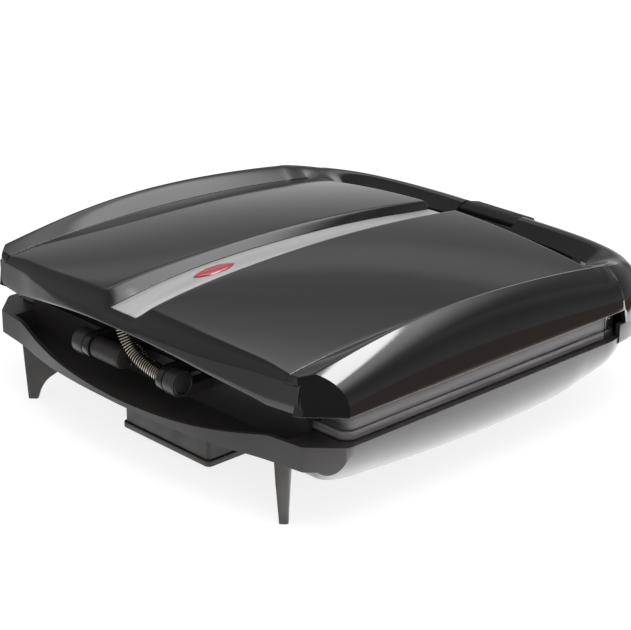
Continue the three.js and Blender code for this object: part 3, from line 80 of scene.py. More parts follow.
class Side(Enum):
    """Both sides of the object, as the sign of x."""

    LEFT = 1
    RIGHT = -1

    def of(self, sizes: Pair) -> float:
        """Returns this side's size, of one for the left and one for the right."""
        return sizes[self is Side.RIGHT]


class Body(Enum):
    """The bodies of the frame that pieces ride on."""

    BASE = "base"
    LID = "lid"
    LATCH = "latch"


class Slot(Enum):
    """The record's material slots."""

    GLOSS = "gloss_black"
    MATT = "matt_black"
    SILVER = "silver_strip"
    LENS = "red_lens"
    LAMP = "lamp_glass"
    PLATE = "plate_coat"
    STEEL = "steel"
    SHEET = "sheet_aluminium"
    CERAMIC = "ceramic"
    RUBBER = "rubber_pad"


class Axis(Enum):
    """The direction that a turned or extruded shape runs in."""

    X = 0
    Y = 1
    Z = 2


class Join(Enum):
    """How one solid is worked with another."""

    CUT = "DIFFERENCE"
    ADD = "UNION"
    KEEP = "INTERSECT"


@lru_cache(maxsize=None)
def fitted(shares: tuple[Pair, ...], degree: int) -> np.polynomial.Polynomial:
    """Returns the polynomial of a degree that lies closest to a table of shares."""
    places, values = np.array(shares).T
    return np.polynomial.Polynomial.fit(places, values, degree)


@dataclass(frozen=True)
class Curve:
    """A smooth line through a few chosen shares."""

    shares: tuple[Pair, ...]
    degree: int = 0

    def at(self, place: Values) -> np.ndarray:
        """Reads the curve.

        Args:
            place: Where to read it, as shares.

        Returns:
            The value there. A degree of 0 passes through every point with no overshoot.
        """
        places, values = np.array(self.shares).T
        inside = np.clip(np.asarray(place, float), places[0], places[-1])
        if self.degree:
            return fitted(self.shares, self.degree)(inside)
        return self._eased(places, values, inside)

    @staticmethod
    def _eased(places: np.ndarray, values: np.ndarray, wanted: np.ndarray) -> np.ndarray:
        """Reads a monotone cubic through places and values at the wanted places."""
        steps = np.diff(places)
        slopes = np.diff(values) / steps
        before, after = slopes[:-1], slopes[1:]
        same = before * after > 0
        inner = np.zeros_like(before)
        inner[same] = 2 * before[same] * after[same] / (before[same] + after[same])
        tangents = np.concatenate([slopes[:1], inner, slopes[-1:]])
        row = np.clip(np.searchsorted(places, wanted, side="right") - 1, 0, len(steps) - 1)
        t = (wanted - places[row]) / steps[row]
        rise = values[row + 1] - values[row]
        ease = t * t * (3 - 2 * t)
        start = tangents[row] * steps[row] * t * (1 - t) ** 2
        end = tangents[row + 1] * steps[row] * t * t * (t - 1)
        return values[row] + rise * ease + start + end


@dataclass(frozen=True)
class Form:
    """Driving sizes of the whole body, the same as those of the frame."""

    half_width: float = 124.2
    rear_reach: float = 121.0
    front_reach: float = 144.5
    corner_start: float = 80.0
    corner_power: float = 2.7
    sweep_half: float = 110.0
    rear_sweep: float = 13.1
    rim: float = 43.1
    plate_seam: float = 47.5
    band: float = 57.0
    crown: float = 29.7
    crown_drop: float = 8.5
    rear_round: Place = (9.0, 3.0, 2.6)
    strip_round: float = 4.6
    seam_half: float = 101.0
    shell_half: float = 107.9
    lid_front: float = 92.0
    band_bottom: float = 31.4
    belly_bottom: float = 13.5
    belly_round: float = 25.0
    plate_half: float = 119.5
    plate_rear: float = 91.0
    plate_front: float = 81.0
    plate_corner: float = 6.0
    wall: float = 2.5
    gap: float = 0.3
    strip_half: float = 9.0
    strip_thick: float = 1.5
    bevel_rear: float = 16.5
    bevel_front: float = 10.4
    arch_half: float = 90.0
    arch_rise: float = 11.8
    smile_drop: float = 9.3
    axis_y: float = 112.5
    axis_z: float = 50.5
    handle_depth: float = 22.0
    handle_bottom: float = 50.0
    handle_top: float = 66.0
    inner_wall: float = 92.6
    trough_half: float = 100.0
    trough_floor: float = 34.0
    skirt_in: float = 0.5
    screw_x: float = 75.0
    screw_in: float = 8.0
    root_in: float = 1.2
    knuckle_radius: float = 6.3
    knuckle_soft: float = 0.5
    grip_drop: float = 11.0
    ledge_drop: float = 0.4
    pivot_in: float = 5.5
    pivot_drop: float = 6.7
    spring_in: float = 15.8
    panel: Curve = Curve((
        (-0.765, 0.745), (-0.711, 0.772), (-0.496, 0.872), (-0.248, 0.95), (0, 0.99), (0.248, 1),
        (0.413, 0.987), (0.562, 0.963), (0.702, 0.923), (0.826, 0.879), (0.942, 0.805), (1.05, 0.7),
    ), 6)
    strip: Curve = Curve((
        (-0.8, 0.59), (-0.496, 0.718), (-0.248, 0.799), (0, 0.849), (0.248, 0.866),
        (0.446, 0.846), (0.678, 0.799), (0.835, 0.705), (0.99, 0.594), (1.05, 0.55),
    ), 6)
    crest: Curve = Curve((
        (-0.66, 0.7), (-0.512, 0.77), (-0.372, 0.84), (-0.124, 0.906), (0.124, 0.933),
        (0.33, 0.916), (0.496, 0.84), (0.66, 0.755), (0.835, 0.638), (1.05, 0.5),
    ), 5)
    rear: Curve = Curve(((0, 0), (0.227, 0.046), (0.4545, 0.185), (0.636, 0.44), (0.809, 0.77), (1, 1)))
    belly: Curve = Curve((
        (-0.8, 0.727), (-0.744, 0.54), (-0.67, 0.355), (-0.58, 0.186), (-0.43, 0.05), (-0.1, 0),
        (0.223, 0.034), (0.496, 0.101), (0.66, 0.169), (0.744, 0.253), (0.8, 0.355), (0.852, 0.6),
    ))
    nose: Curve = Curve(((-0.8, 0.924), (-0.744, 0.98), (-0.67, 1), (1, 1)))

    @property
    def ledge_z(self) -> float:
        """Returns the height of the ledge that the lower plate lies on."""
        return self.rim - self.ledge_drop

    @property
    def skirt_half(self) -> float:
        """Returns half the width of the skirts ahead of the plates."""
        return self.plate_half - self.skirt_in

    @property
    def skirt_y(self) -> float:
        """Returns where the skirts' rear faces lie."""
        return -self.plate_front - self.gap

    @property
    def screw_rows(self) -> Pair:
        """Returns where the rear and the front screws of the plates lie."""
        return self.plate_rear - self.screw_in, self.screw_in - self.plate_front

    @property
    def root_y(self) -> float:
        """Returns where the hinge's arms and posts start in the inner wall."""
        return self.inner_wall + self.root_in

    @property
    def axis(self) -> Pair:
        """Returns the hinge axis in y and z."""
        return self.axis_y, self.axis_z

    @property
    def latch_pivot(self) -> Pair:
        """Returns the latch's pivot in y and z."""
        return -self.front_reach + self.pivot_in, self.handle_top - self.pivot_drop

    @property
    def spring_y(self) -> float:
        """Returns where the latch's return spring stands."""
        return -self.front_reach + self.spring_in

    def share(self, y: Values) -> np.ndarray:
        """Returns a place along the body as a share of its reach to the rear."""
        return np.asarray(y, float) / self.rear_reach

    def rear_edge(self, x: Values) -> np.ndarray:
        """Returns the rear edge of the body in plan."""
        return self.rear_reach - self.rear_sweep * self.rear.at(np.abs(x) / self.sweep_half)

    def rear_radius(self, x: Values) -> np.ndarray:
        """Returns the radius of the lid's rounded rear edge, larger in the middle."""
        middle, side, power = self.rear_round
        return middle - (middle - side) * np.minimum(1, np.abs(x) / self.seam_half) ** power

    @staticmethod
    def fall(inward: Values, radius: Values) -> np.ndarray:
        """Returns how far a rounded edge lies below its surface, at a distance in from it."""
        short = np.maximum(0, radius - np.maximum(0, inward))
        return radius - np.sqrt(np.maximum(0, radius * radius - short * short))

    def level(self, curve: Curve, y: Values) -> np.ndarray:
        """Returns a height above the table along one of the lid's curves."""
        return self.band + self.crown * curve.at(self.share(y))

    def panel_top(self, x: Values, y: Values) -> np.ndarray:
        """Returns the panels' height, with no rounding at the rear."""
        return self.level(self.panel, y) - self.crown_drop * (np.asarray(x) / self.seam_half) ** 2

    def bevel_half(self, y: Values) -> np.ndarray:
        """Returns half the width between the panels' inner edges."""
        run = (np.asarray(y) + self.lid_front) / (self.rear_reach + self.lid_front)
        return self.bevel_front + (self.bevel_rear - self.bevel_front) * run

    def arch(self, x: Values) -> np.ndarray:
        """Returns the lower edge of the lid's rear wall."""
        return self.band + self.arch_rise * np.maximum(0, 1 - (np.asarray(x) / self.arch_half) ** 2)

    def belly_low(self, y: Values) -> np.ndarray:
        """Returns the height of the belly's lowest line."""
        return self.belly_bottom + (self.rim - self.belly_bottom) * self.belly.at(self.share(y))

    def corner(self, side: Side, turn: float) -> Stand:
        """Finds a point of the outer line round a front corner.

        Args:
            side: Which corner.
            turn: 0 at the straight side, 1 at the middle of the front.

        Returns:
            The point's x and y, and its outward direction in x and y.
        """
        angle = turn * math.pi / 2
        reach = self.front_reach - self.corner_start
        across = max(0.0, math.cos(angle)) ** (2 / self.corner_power)
        along = max(0.0, math.sin(angle)) ** (2 / self.corner_power)
        nx = across ** (self.corner_power - 1) / self.half_width
        ny = along ** (self.corner_power - 1) / reach
        long = math.hypot(nx, ny)
        x = side.value * self.half_width * across
        return x, -self.corner_start - reach * along, side.value * nx / long, -ny / long


FORM = Form()
SHIFT_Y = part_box("base_shell")[1][1] / MM - FORM.rear_reach
OVER = 6.0


@dataclass
class Shape:
    """Faces between points, in design millimetres."""

    points: np.ndarray
    faces: list[tuple[int, ...]]

    def __add__(self, other: Shape) -> Shape:
        """Returns both shapes as one, side by side."""
        moved = [tuple(k + len(self.points) for k in face) for face in other.faces]
        return Shape(np.vstack([self.points, other.points]), self.faces + moved)


def loft(rings: list[np.ndarray]) -> Shape:
    """Returns a closed solid through rings with as many points each."""
    count = len(rings[0])
    faces: list[tuple[int, ...]] = []
    for ring in range(len(rings) - 1):
        for k in range(count):
            a, b = ring * count + k, ring * count + (k + 1) % count
            faces.append((a, b, b + count, a + count))
    last = (len(rings) - 1) * count
    faces.append(tuple(range(count - 1, -1, -1)))
    faces.append(tuple(last + k for k in range(count)))
    return Shape(np.vstack(rings), faces)


def together(shapes: list[Shape]) -> Shape:
    """Returns several shapes as one, side by side."""
    made = shapes[0]
    for shape in shapes[1:]:
        made = made + shape
    return made


def at_level(outline: Outline, z: float) -> np.ndarray:
    """Returns a plan outline as a ring of points at a height."""
    return np.insert(np.array(outline, float), 2, z, axis=1)


def prism(outline: Outline, low: float, high: float, axis: Axis = Axis.Z) -> Shape:
    """Extrudes an outline.

    Args:
        outline: Points in the two other coordinates, in their usual order.
        low: Where it starts along the axis.
        high: Where it ends.
        axis: The direction that it runs in.

    Returns:
        The closed solid.
    """
    flat = np.array(outline, float)
    rings = [np.insert(flat, axis.value, level, axis=1) for level in (low, high)]
    return loft(rings)


def block(x: Pair, y: Pair, z: Pair) -> Shape:
    """Returns a block between two places on each axis."""
    corners = [(min(x), min(y)), (max(x), min(y)), (max(x), max(y)), (min(x), max(y))]
    return prism(corners, min(z), max(z))


def turned(profile: Outline, axis: Axis, centre: Pair, steps: int = 40) -> Shape:
    """Turns a profile about an axis.

    Args:
        profile: Radius and place along the axis of each point, from one end to the other.
        axis: The direction of the axis.
        centre: Where the axis lies in the two other coordinates, in their usual order.
        steps: How many faces lie round it.

    Returns:
        The closed solid.
    """
    angles = np.linspace(0, math.tau, steps, endpoint=False)
    rings = []
    for radius, place in profile:
        across = centre[0] + radius * np.cos(angles)
        up = centre[1] + radius * np.sin(angles)
        rings.append(np.insert(np.stack([across, up], axis=1), axis.value, place, axis=1))
    return loft(rings)


def rod(axis: Axis, ends: Pair, centre: Pair, radius: float,
        soft: float = 0.0, steps: int = 40) -> Shape:
    """Returns a round bar with softened ends, used for pins and bores."""
    low, high = min(ends), max(ends)
    if not soft:
        return turned([(radius, low), (radius, high)], axis, centre, steps)
    arc = [math.pi / 2 * k / 4 for k in range(5)]
    start = [(radius - soft + soft * math.sin(a), low + soft - soft * math.cos(a)) for a in arc]
    end = [(radius - soft + soft * math.cos(a), high - soft + soft * math.sin(a)) for a in arc]
    return turned(start + end, axis, centre, steps)


def ring_of(axis: Axis, ends: Pair, centre: Pair, outer: float,
            bore: float, soft: float = 0.4, steps: int = 40) -> Shape:
    """Returns a round tube with softened rims as one closed skin."""
    low, high = min(ends), max(ends)
    section = [
        (bore, low + soft), (bore + soft, low), (outer - soft, low), (outer, low + soft),
        (outer, high - soft), (outer - soft, high), (bore + soft, high), (bore, high - soft),
    ]
    made = turned(section, axis, centre, steps)
    body = made.faces[:-2]
    last = (len(section) - 1) * steps
    for k in range(steps):
        body.append((last + k, last + (k + 1) % steps, (k + 1) % steps, k))
    return Shape(made.points, body)


def tube(path: np.ndarray, radius: float, sides: int = 8) -> Shape:
    """Returns a round tube along a path, its section carried along without twist."""
    tangents = np.gradient(path, axis=0)
    tangents /= np.linalg.norm(tangents, axis=1)[:, None]
    seed = np.array([0.0, 1.0, 0.0]) if abs(tangents[0][1]) < 0.9 else np.array([1.0, 0.0, 0.0])
    rings = []
    angles = np.linspace(0, math.tau, sides, endpoint=False)
    for point, ahead in zip(path, tangents):
        seed = seed - ahead * seed.dot(ahead)
        seed /= np.linalg.norm(seed)
        beside = np.cross(ahead, seed)
        rings.append(point + radius * (np.outer(np.cos(angles), seed) + np.outer(np.sin(angles), beside)))
    return loft(rings)


def smooth_path(points: list[Sequence[float]], steps: int) -> np.ndarray:
    """Returns evenly spaced points on a smooth line through a few chosen ones."""
    chosen = np.array(points, float)
    gaps = np.linalg.norm(np.diff(chosen, axis=0), axis=1) ** 0.5
    knots = np.concatenate([[0], np.cumsum(gaps)])
    tangents = np.gradient(chosen, knots, axis=0)
    fine = np.linspace(0, knots[-1], 40 * len(points))
    row = np.clip(np.searchsorted(knots, fine, side="right") - 1, 0, len(gaps) - 1)
    step = (knots[row + 1] - knots[row])[:, None]
    t = (fine - knots[row])[:, None] / step
    line = (
        chosen[row] * (1 + 2 * t) * (1 - t) ** 2 + chosen[row + 1] * t * t * (3 - 2 * t)
        + step * tangents[row] * t * (1 - t) ** 2 + step * tangents[row + 1] * t * t * (t - 1)
    )
    run = np.concatenate([[0], np.cumsum(np.linalg.norm(np.diff(line, axis=0), axis=1))])
    even = np.linspace(0, run[-1], steps)
    return np.stack([np.interp(even, run, line[:, k]) for k in range(line.shape[1])], axis=1)


def rounded(corners: Outline, radii: list[float], steps: int = 6) -> Outline:
    """Rounds the corners of an outline.

    Args:
        corners: The outline's corners.
        radii: One radius for each of them, 0 to leave it sharp.
        steps: How many lines make each round corner.

    Returns:
        The outline with arcs in place of its corners.
    """
    made: Outline = []
    count = len(corners)
    for k, (corner, radius) in enumerate(zip(corners, radii)):
        here = np.array(corner, float)
        if radius <= 0:
            made.append((here[0], here[1]))
            continue
        before = np.array(corners[k - 1], float) - here
        after = np.array(corners[(k + 1) % count], float) - here
        before /= np.linalg.norm(before)
        after /= np.linalg.norm(after)
        half = math.acos(max(-1.0, min(1.0, float(before.dot(after))))) / 2
        reach = radius / math.tan(half)
        start, end = here + before * reach, here + after * reach
        middle = here + (before + after) / np.linalg.norm(before + after) * radius / math.sin(half)
        first = math.atan2(*(start - middle)[::-1])
        turn = (math.atan2(*(end - middle)[::-1]) - first + math.pi) % math.tau - math.pi
        for step in range(steps + 1):
            angle = first + turn * step / steps
            made.append((middle[0] + radius * math.cos(angle), middle[1] + radius * math.sin(angle)))
    return made


def rounded_box(x: Pair, y: Pair, front: float, rear: float) -> Outline:
    """Returns a rectangle with its front and its rear corners rounded by two radii."""
    corners = [(x[0], y[0]), (x[1], y[0]), (x[1], y[1]), (x[0], y[1])]
    return rounded(corners, [front, front, rear, rear])


def body_plan(inset: float, soft: float, lean: float = 0.0) -> Outline:
    """Traces the body's plan outline behind the front corners.

    Args:
        inset: How far it is drawn in.
        soft: Radius between each straight side and the cut across its rear corner.
        lean: How far the cut has moved forward, as a sum of x and y.

    Returns:
        The outline, counter-clockwise from the front.
    """
    half = FORM.half_width - inset
    total = FORM.sweep_half + FORM.rear_reach - FORM.rear_sweep - inset * math.sqrt(2) - lean
    front = -FORM.front_reach - OVER
    kink = FORM.sweep_half - inset * 0.4 - lean * 0.9
    xs = np.linspace(kink, -kink, 81)
    edge = FORM.rear_edge(xs) - inset
    corner = (half, total - half)
    start = (half, front)
    turn = rounded([start, corner, (xs[0], total - xs[0])], [0, soft, 0], 8)
    left = turn[1:-1]
    back = [(float(x), float(min(y, total - abs(x)))) for x, y in zip(xs, edge)]
    return [start, *left, *back, *[(-x, y) for x, y in reversed(left)], (-half, front)]


class Piece:
    """One piece of the scene, from its first mesh to its finish."""

    def __init__(self, name: str, shape: Shape, closed: bool = True) -> None:
        """Makes the mesh.

        Args:
            name: The piece's name.
            shape: Its faces in design millimetres.
            closed: Whether it is a closed skin, whose faces are then turned outwards.
        """
        placed = (np.asarray(shape.points, float) + (0, SHIFT_Y, 0)) * MM
        mesh = bpy.data.meshes.new(name)
        mesh.from_pydata(placed.tolist(), [], shape.faces)
        work = bmesh.new()
        work.from_mesh(mesh)
        bmesh.ops.remove_doubles(work, verts=work.verts, dist=0.002 * MM)
        bmesh.ops.dissolve_degenerate(work, edges=work.edges, dist=0.001 * MM)
        if closed:
            bmesh.ops.recalc_face_normals(work, faces=work.faces)
        work.to_mesh(mesh)
        work.free()
        self.thing = bpy.data.objects.new(name, mesh)
        bpy.context.scene.collection.objects.link(self.thing)

    def _modify(self, kind: str, **settings: object) -> Piece:
        """Applies a modifier to the piece.

        Args:
            kind: Its type.
            settings: Its settings by their names.

        Returns:
            The piece itself.
        """
        step = self.thing.modifiers.new(kind.lower(), kind)
        for name, value in settings.items():
            setattr(step, name, value)
        graph = bpy.context.evaluated_depsgraph_get()
        made = bpy.data.meshes.new_from_object(self.thing.evaluated_get(graph))
        old = self.thing.data
        self.thing.modifiers.clear()
        self.thing.data = made
        made.name = self.thing.name
        bpy.data.meshes.remove(old)
        return self

    def work(self, how: Join, *others: Shape | Piece) -> Piece:
        """Joins, cuts or trims the piece.

        Args:
            how: What is done.
            others: The shapes or pieces that it is done with. Each is used up.

        Returns:
            The piece itself.
        """
        for other in others:
            tool = other if isinstance(other, Piece) else Piece("tool", other)
            self._modify("BOOLEAN", operation=how.value, solver="MANIFOLD", object=tool.thing)
            tool.discard()
        return self

    def cut(self, *others: Shape | Piece) -> Piece:
        """Cuts others out of the piece."""
        return self.work(Join.CUT, *others)

    def add(self, *others: Shape | Piece) -> Piece:
        """Joins others to the piece."""
        return self.work(Join.ADD, *others)

    def keep(self, *others: Shape | Piece) -> Piece:
        """Keeps what the piece shares with others."""
        return self.work(Join.KEEP, *others)

    def discard(self) -> None:
        """Removes the piece and its mesh."""
        mesh = self.thing.data
        bpy.data.objects.remove(self.thing)
        bpy.data.meshes.remove(mesh)

    def sink(self, depth: float) -> None:
        """Moves the piece's mesh down."""
        self.thing.data.transform(Matrix.Translation((0, 0, -depth * MM)))

    def copy(self) -> Piece:
        """Returns a second piece with a mesh of its own."""
        twin = Piece.__new__(Piece)
        twin.thing = bpy.data.objects.new("copy", self.thing.data.copy())
        bpy.context.scene.collection.objects.link(twin.thing)
        return twin

    def thicken(self, thickness: float) -> Piece:
        """Gives an open skin a wall towards its inside and returns the piece."""
        return self._modify("SOLIDIFY", thickness=thickness * MM, offset=-1)

    def soften(self, width: float, angle: float = 35.0) -> Piece:
        """Rounds the edges that are sharper than an angle and returns the piece."""
        return self._modify(
            "BEVEL", width=width * MM, segments=3, limit_method="ANGLE",
            angle_limit=math.radians(angle), miter_outer="MITER_ARC",
        )

    def dress(self, finish: Finish, body: Body | None, *nodes: str, smooth: float = 32.0) -> Piece:
        """Gives the piece its finish and its place in the assembly.

        Args:
            finish: The finish of its surface.
            body: The body that it rides on, or None to leave it on no body.
            nodes: The frame's nodes that it stands for.
            smooth: Edges flatter than this angle are shaded smooth, in degrees.

        Returns:
            The piece itself.
        """
        mesh = self.thing.data
        mesh.materials.clear()
        mesh.materials.append(finish.material())
        mesh.shade_smooth()
        mesh.set_sharp_from_angle(angle=math.radians(smooth))
        if body:
            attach(self.thing, body.value)
        if nodes:
            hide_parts(*nodes)
        LOG.info("piece %s: %d faces", self.thing.name, len(mesh.polygons))
        return self


def refinish(node: str, finish: Finish) -> None:
    """Gives a piece that is kept as the frame has it a finish."""
    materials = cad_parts[node].data.materials
    materials.clear()
    materials.append(finish.material())


class Recipe:
    """A node tree while it is put together."""

    def __init__(self, tree: bpy.types.NodeTree) -> None:
        """Starts with an empty tree."""
        self.tree = tree
        tree.nodes.clear()

    def node(self, kind: str, *first: object, **inputs: object) -> Node:
        """Adds a node.

        Args:
            kind: Its type.
            first: Values or sockets for its first inputs, in their order.
            inputs: The same for inputs by their names, with _ for each space in a name.

        Returns:
            The node.
        """
        made = self.tree.nodes.new(kind)
        for socket, value in zip(made.inputs, first):
            self.feed(socket, value)
        self.fill(made, **inputs)
        return made

    def feed(self, socket: Socket, value: object) -> None:
        """Sets a socket to a value or links it to another socket."""
        if isinstance(value, Socket):
            self.tree.links.new(value, socket)
        elif isinstance(value, tuple) and len(value) == 3 and socket.type == "RGBA":
            socket.default_value = (*value, 1.0)
        else:
            socket.default_value = value

    def fill(self, node: Node, **inputs: object) -> None:
        """Feeds a node's inputs by their names, with _ for each space in a name."""
        for name, value in inputs.items():
            self.feed(node.inputs[name.replace("_", " ")], value)

    def grain(self, grain: Grain) -> Socket:
        """Returns a noise over the piece, stretched along its axes."""
        place = self.node("ShaderNodeTexCoord").outputs["Object"]
        mapped = self.node("ShaderNodeMapping", Vector=place, Scale=grain.stretch).outputs[0]
        made = self.node(
            "ShaderNodeTexNoise", Vector=mapped, Scale=grain.scale, Detail=grain.detail,
            Roughness=grain.rough,
        )
        return made.outputs["Fac"]

    def spread(self, value: object, source: Pair, levels: Pair, smooth: bool = False) -> object:
        """Spreads a value from one range to another.

        Args:
            value: What it reads.
            source: Where it starts and ends.
            levels: What it returns there.
            smooth: Whether it eases in and out.

        Returns:
            The socket.
        """
        made = self.node("ShaderNodeMapRange", Value=value, From_Min=source[0], From_Max=source[1])
        self.fill(made, To_Min=levels[0], To_Max=levels[1])
        if smooth:
            made.interpolation_type = "SMOOTHSTEP"
        return made.outputs[0]

    def shade(self, value: object, *stops: tuple[float, Colour]) -> Socket:
        """Returns a colour that runs through stops as a value rises."""
        ramp = self.node("ShaderNodeValToRGB", Fac=value)
        line = ramp.color_ramp.elements
        while len(line) < len(stops):
            line.new(1.0)
        for element, (place, colour) in zip(line, stops):
            element.position = place
            element.color = (*colour, 1.0)
        return ramp.outputs["Color"]

    def work(self, operation: str, first: object, *others: object) -> object:
        """Returns values worked together, one after another."""
        for other in others:
            made = self.node("ShaderNodeMath", first, other)
            made.operation = operation
            first = made.outputs[0]
        return first

    def times(self, *values: object) -> object:
        """Returns values multiplied with each other."""
        return self.work("MULTIPLY", *values)

    def mixed(self, share: object, first: Node, second: Node) -> Node:
        """Returns a shader that runs from one to another with a share."""
        return self.node("ShaderNodeMixShader", share, first.outputs[0], second.outputs[0])


class Coat(Recipe):
    """A material's node tree, with one shader and an output."""

    def __init__(self, name: str) -> None:
        """Starts the material."""
        self.made = bpy.data.materials.new(name)
        self.made.use_nodes = True
        super().__init__(self.made.node_tree)
        self.shader = self.node("ShaderNodeBsdfPrincipled")
        self.output = self.node("ShaderNodeOutputMaterial", Surface=self.shader.outputs[0])

    def relief(self, height: object, depth: float, edge: float) -> None:
        """Gives the shader a bump of a depth, over edges softened by a radius, in millimetres."""
        bump = self.node("ShaderNodeBump", Height=height, Strength=1.0, Distance=depth * MM)
        if edge:
            soft = self.node("ShaderNodeBevel", Radius=edge * MM)
            soft.samples = 6
            self.fill(bump, Normal=soft.outputs[0])
        self.fill(self.shader, Normal=bump.outputs[0])


@dataclass(frozen=True)
class Grain:
    """A noise over a piece: how fine it is, its stretch along the axes and its detail."""

    scale: float
    stretch: Colour = (1.0, 1.0, 1.0)
    detail: float = 3.0
    rough: float = 0.55


@dataclass(frozen=True)
class Finish:
    """A surface: two colours through a grain, its roughness, further settings and a relief.

    The roughness runs between its two values with the marks, or with the grain where no
    marks are given. The relief has a grain of its own, or shares the first, with its depth
    and the radius that softens the edges.
    """

    name: str
    slot: Slot
    grain: Grain
    colours: tuple[tuple[float, Colour], tuple[float, Colour]]
    rough: Pair | float
    marks: Grain | None = None
    relief: tuple[Grain | None, float, float] | None = None
    further: tuple[tuple[str, object], ...] = ()

    def pattern(self, coat: Coat) -> Socket:
        """Returns what the two colours run through."""
        return coat.grain(self.grain)

    def material(self) -> bpy.types.Material:
        """Returns the finish's material, made once."""
        known = bpy.data.materials.get(self.name)
        if known:
            return known
        coat = Coat(self.name)
        pattern = self.pattern(coat)
        rough: object = self.rough
        if isinstance(self.rough, tuple):
            marks = coat.grain(self.marks) if self.marks else pattern
            rough = coat.spread(marks, (0.3, 0.7), self.rough)
        colour = coat.shade(pattern, *self.colours)
        coat.fill(coat.shader, Base_Color=colour, Roughness=rough, **dict(self.further))
        if self.relief:
            grain, depth, edge = self.relief
            coat.relief(coat.grain(grain) if grain else pattern, depth, edge)
        return coat.made


@dataclass(frozen=True)
class RibbedLens(Finish):
    """Clear plastic with fine ribs across its underside, in place of a grain."""

    pitch: float = 1.1

    def pattern(self, coat: Coat) -> Socket:
        """Returns the ribs."""
        place = coat.node("ShaderNodeTexCoord").outputs["Object"]
        ribs = coat.node("ShaderNodeTexWave", Vector=place, Scale=0.314 / (self.pitch * MM))
        ribs.bands_direction = "Y"
        return ribs.outputs["Fac"]


# Black plastic from a polished mould, with faint haze and wiping marks.
GLOSS = Finish(
    "gloss black moulding", Slot.GLOSS, Grain(9.0, detail=4.0),
    ((0.3, (0.011, 0.011, 0.012)), (0.75, (0.016, 0.016, 0.017))),
    (0.045, 0.11), Grain(26.0, (1.0, 0.22, 1.0), 5.0, 0.6),
    (Grain(420.0, detail=1.0), 0.0035, 0.25), (("IOR", 1.52),),
)
SATIN = replace(
    GLOSS, name="satin black moulding", rough=(0.34, 0.44),
    colours=((0.3, (0.022, 0.020, 0.0195)), (0.75, (0.032, 0.029, 0.028))),
)
# Black plastic with a fine spark-eroded grain.
MATT = Finish(
    "matt black moulding", Slot.MATT, Grain(60.0, detail=5.0),
    ((0.35, (0.020, 0.018, 0.017)), (0.75, (0.034, 0.030, 0.028))),
    (0.42, 0.58), Grain(90.0), (Grain(2600.0, detail=2.0), 0.05, 0.4),
    (("Specular_IOR_Level", 0.5),),
)
CLIP = replace(
    MATT, name="latch moulding", rough=(0.55, 0.68), further=(("Specular_IOR_Level", 0.2),),
    colours=((0.35, (0.008, 0.008, 0.009)), (0.75, (0.015, 0.015, 0.016))),
)
# Silver lacquer on plastic, with fine flake and faint lengthwise streaks.
SILVER = Finish(
    "satin silver", Slot.SILVER, Grain(150.0, (1.0, 0.05, 1.0), 4.0),
    ((0.3, (0.50, 0.49, 0.50)), (0.75, (0.62, 0.61, 0.62))),
    (0.32, 0.42), None, (Grain(1900.0, detail=1.0), 0.01, 0.25), (("Metallic", 0.3),),
)
LENS_RED: Colour = (0.50, 0.012, 0.035)
# The lens has a faint painted glow in its own red, though it is no lamp.
LENS = RibbedLens(
    "ribbed red lens", Slot.LENS, Grain(1.0), ((0.15, (0.26, 0.004, 0.014)), (0.85, LENS_RED)), 0.12,
    further=(
        ("Coat_Weight", 1.0), ("Coat_Roughness", 0.04), ("Emission_Color", LENS_RED),
        ("Emission_Strength", 0.12),
    ),
)
# Cast aluminium under a dark non-stick coat, drawn out in streaks along its edges. Both plates share this
# coat: the upper plate's is painted darker as shade, the lower plate's lighter as painted light.
UPPER_COAT_SHADED = Finish(
    "upper plate coat", Slot.PLATE, Grain(75.0, (0.35, 0.35, 12.0), 6.0, 0.65),
    ((0.3, (0.03, 0.029, 0.030)), (0.72, (0.12, 0.117, 0.12))),
    (0.34, 0.52), None, (Grain(900.0, (1.0, 1.0, 2.0)), 0.03, 0.4), (("Metallic", 0.35),),
)
# The lower plate's copy of the same coat, painted lighter as light falling on it.
LOWER_COAT_LIT = replace(
    UPPER_COAT_SHADED, name="lower plate coat",
    colours=((0.3, (0.125, 0.117, 0.127)), (0.72, (0.31, 0.292, 0.31))),
)
# Bright steel with drawing marks and a little tarnish, which is also the rougher part.
STEEL = Finish(
    "bright steel", Slot.STEEL, Grain(120.0, detail=5.0),
    ((0.3, (0.30, 0.27, 0.25)), (0.62, (0.50, 0.47, 0.44))),
    (0.36, 0.2), None, (Grain(1400.0), 0.006, 0.15), (("Metallic", 1.0),),
)
WOUND = replace(
    STEEL, name="wound steel", rough=(0.3, 0.18),
    colours=((0.3, (0.30, 0.25, 0.21)), (0.62, (0.52, 0.47, 0.42))),
)
SHEATH = replace(
    STEEL, name="heater sheath", rough=(0.55, 0.4),
    colours=((0.3, (0.14, 0.12, 0.11)), (0.62, (0.26, 0.23, 0.21))),
)
# Mill-finish aluminium sheet with rolling lines.
SHEET = Finish(
    "mill aluminium", Slot.SHEET, Grain(180.0, (1.0, 0.04, 1.0), 4.0),
    ((0.3, (0.42, 0.42, 0.42)), (0.7, (0.56, 0.56, 0.55))),
    (0.3, 0.46), None, (None, 0.01, 0.0), (("Metallic", 1.0),),
)
# Pale unglazed ceramic with pores.
CERAMIC = Finish(
    "fired ceramic", Slot.CERAMIC, Grain(500.0, detail=4.0),
    ((0.35, (0.45, 0.41, 0.34)), (0.55, (0.62, 0.58, 0.50))), 0.75, relief=(None, 0.05, 0.2),
)
# Black rubber with bloom.
RUBBER = Finish(
    "black rubber", Slot.RUBBER, Grain(220.0, detail=5.0),
    ((0.35, (0.012, 0.012, 0.012)), (0.75, (0.03, 0.03, 0.03))), 0.82,
    relief=(Grain(3000.0), 0.03, 0.3),
)
# The clear envelope of a small neon lamp, with its warm glow.
LAMP = Finish(
    "lamp glass", Slot.LAMP, Grain(160.0), ((0.3, (0.8, 0.5, 0.4)), (0.7, (0.85, 0.62, 0.52))), 0.05,
    further=(("Transmission_Weight", 0.6), ("IOR", 1.47)),
)


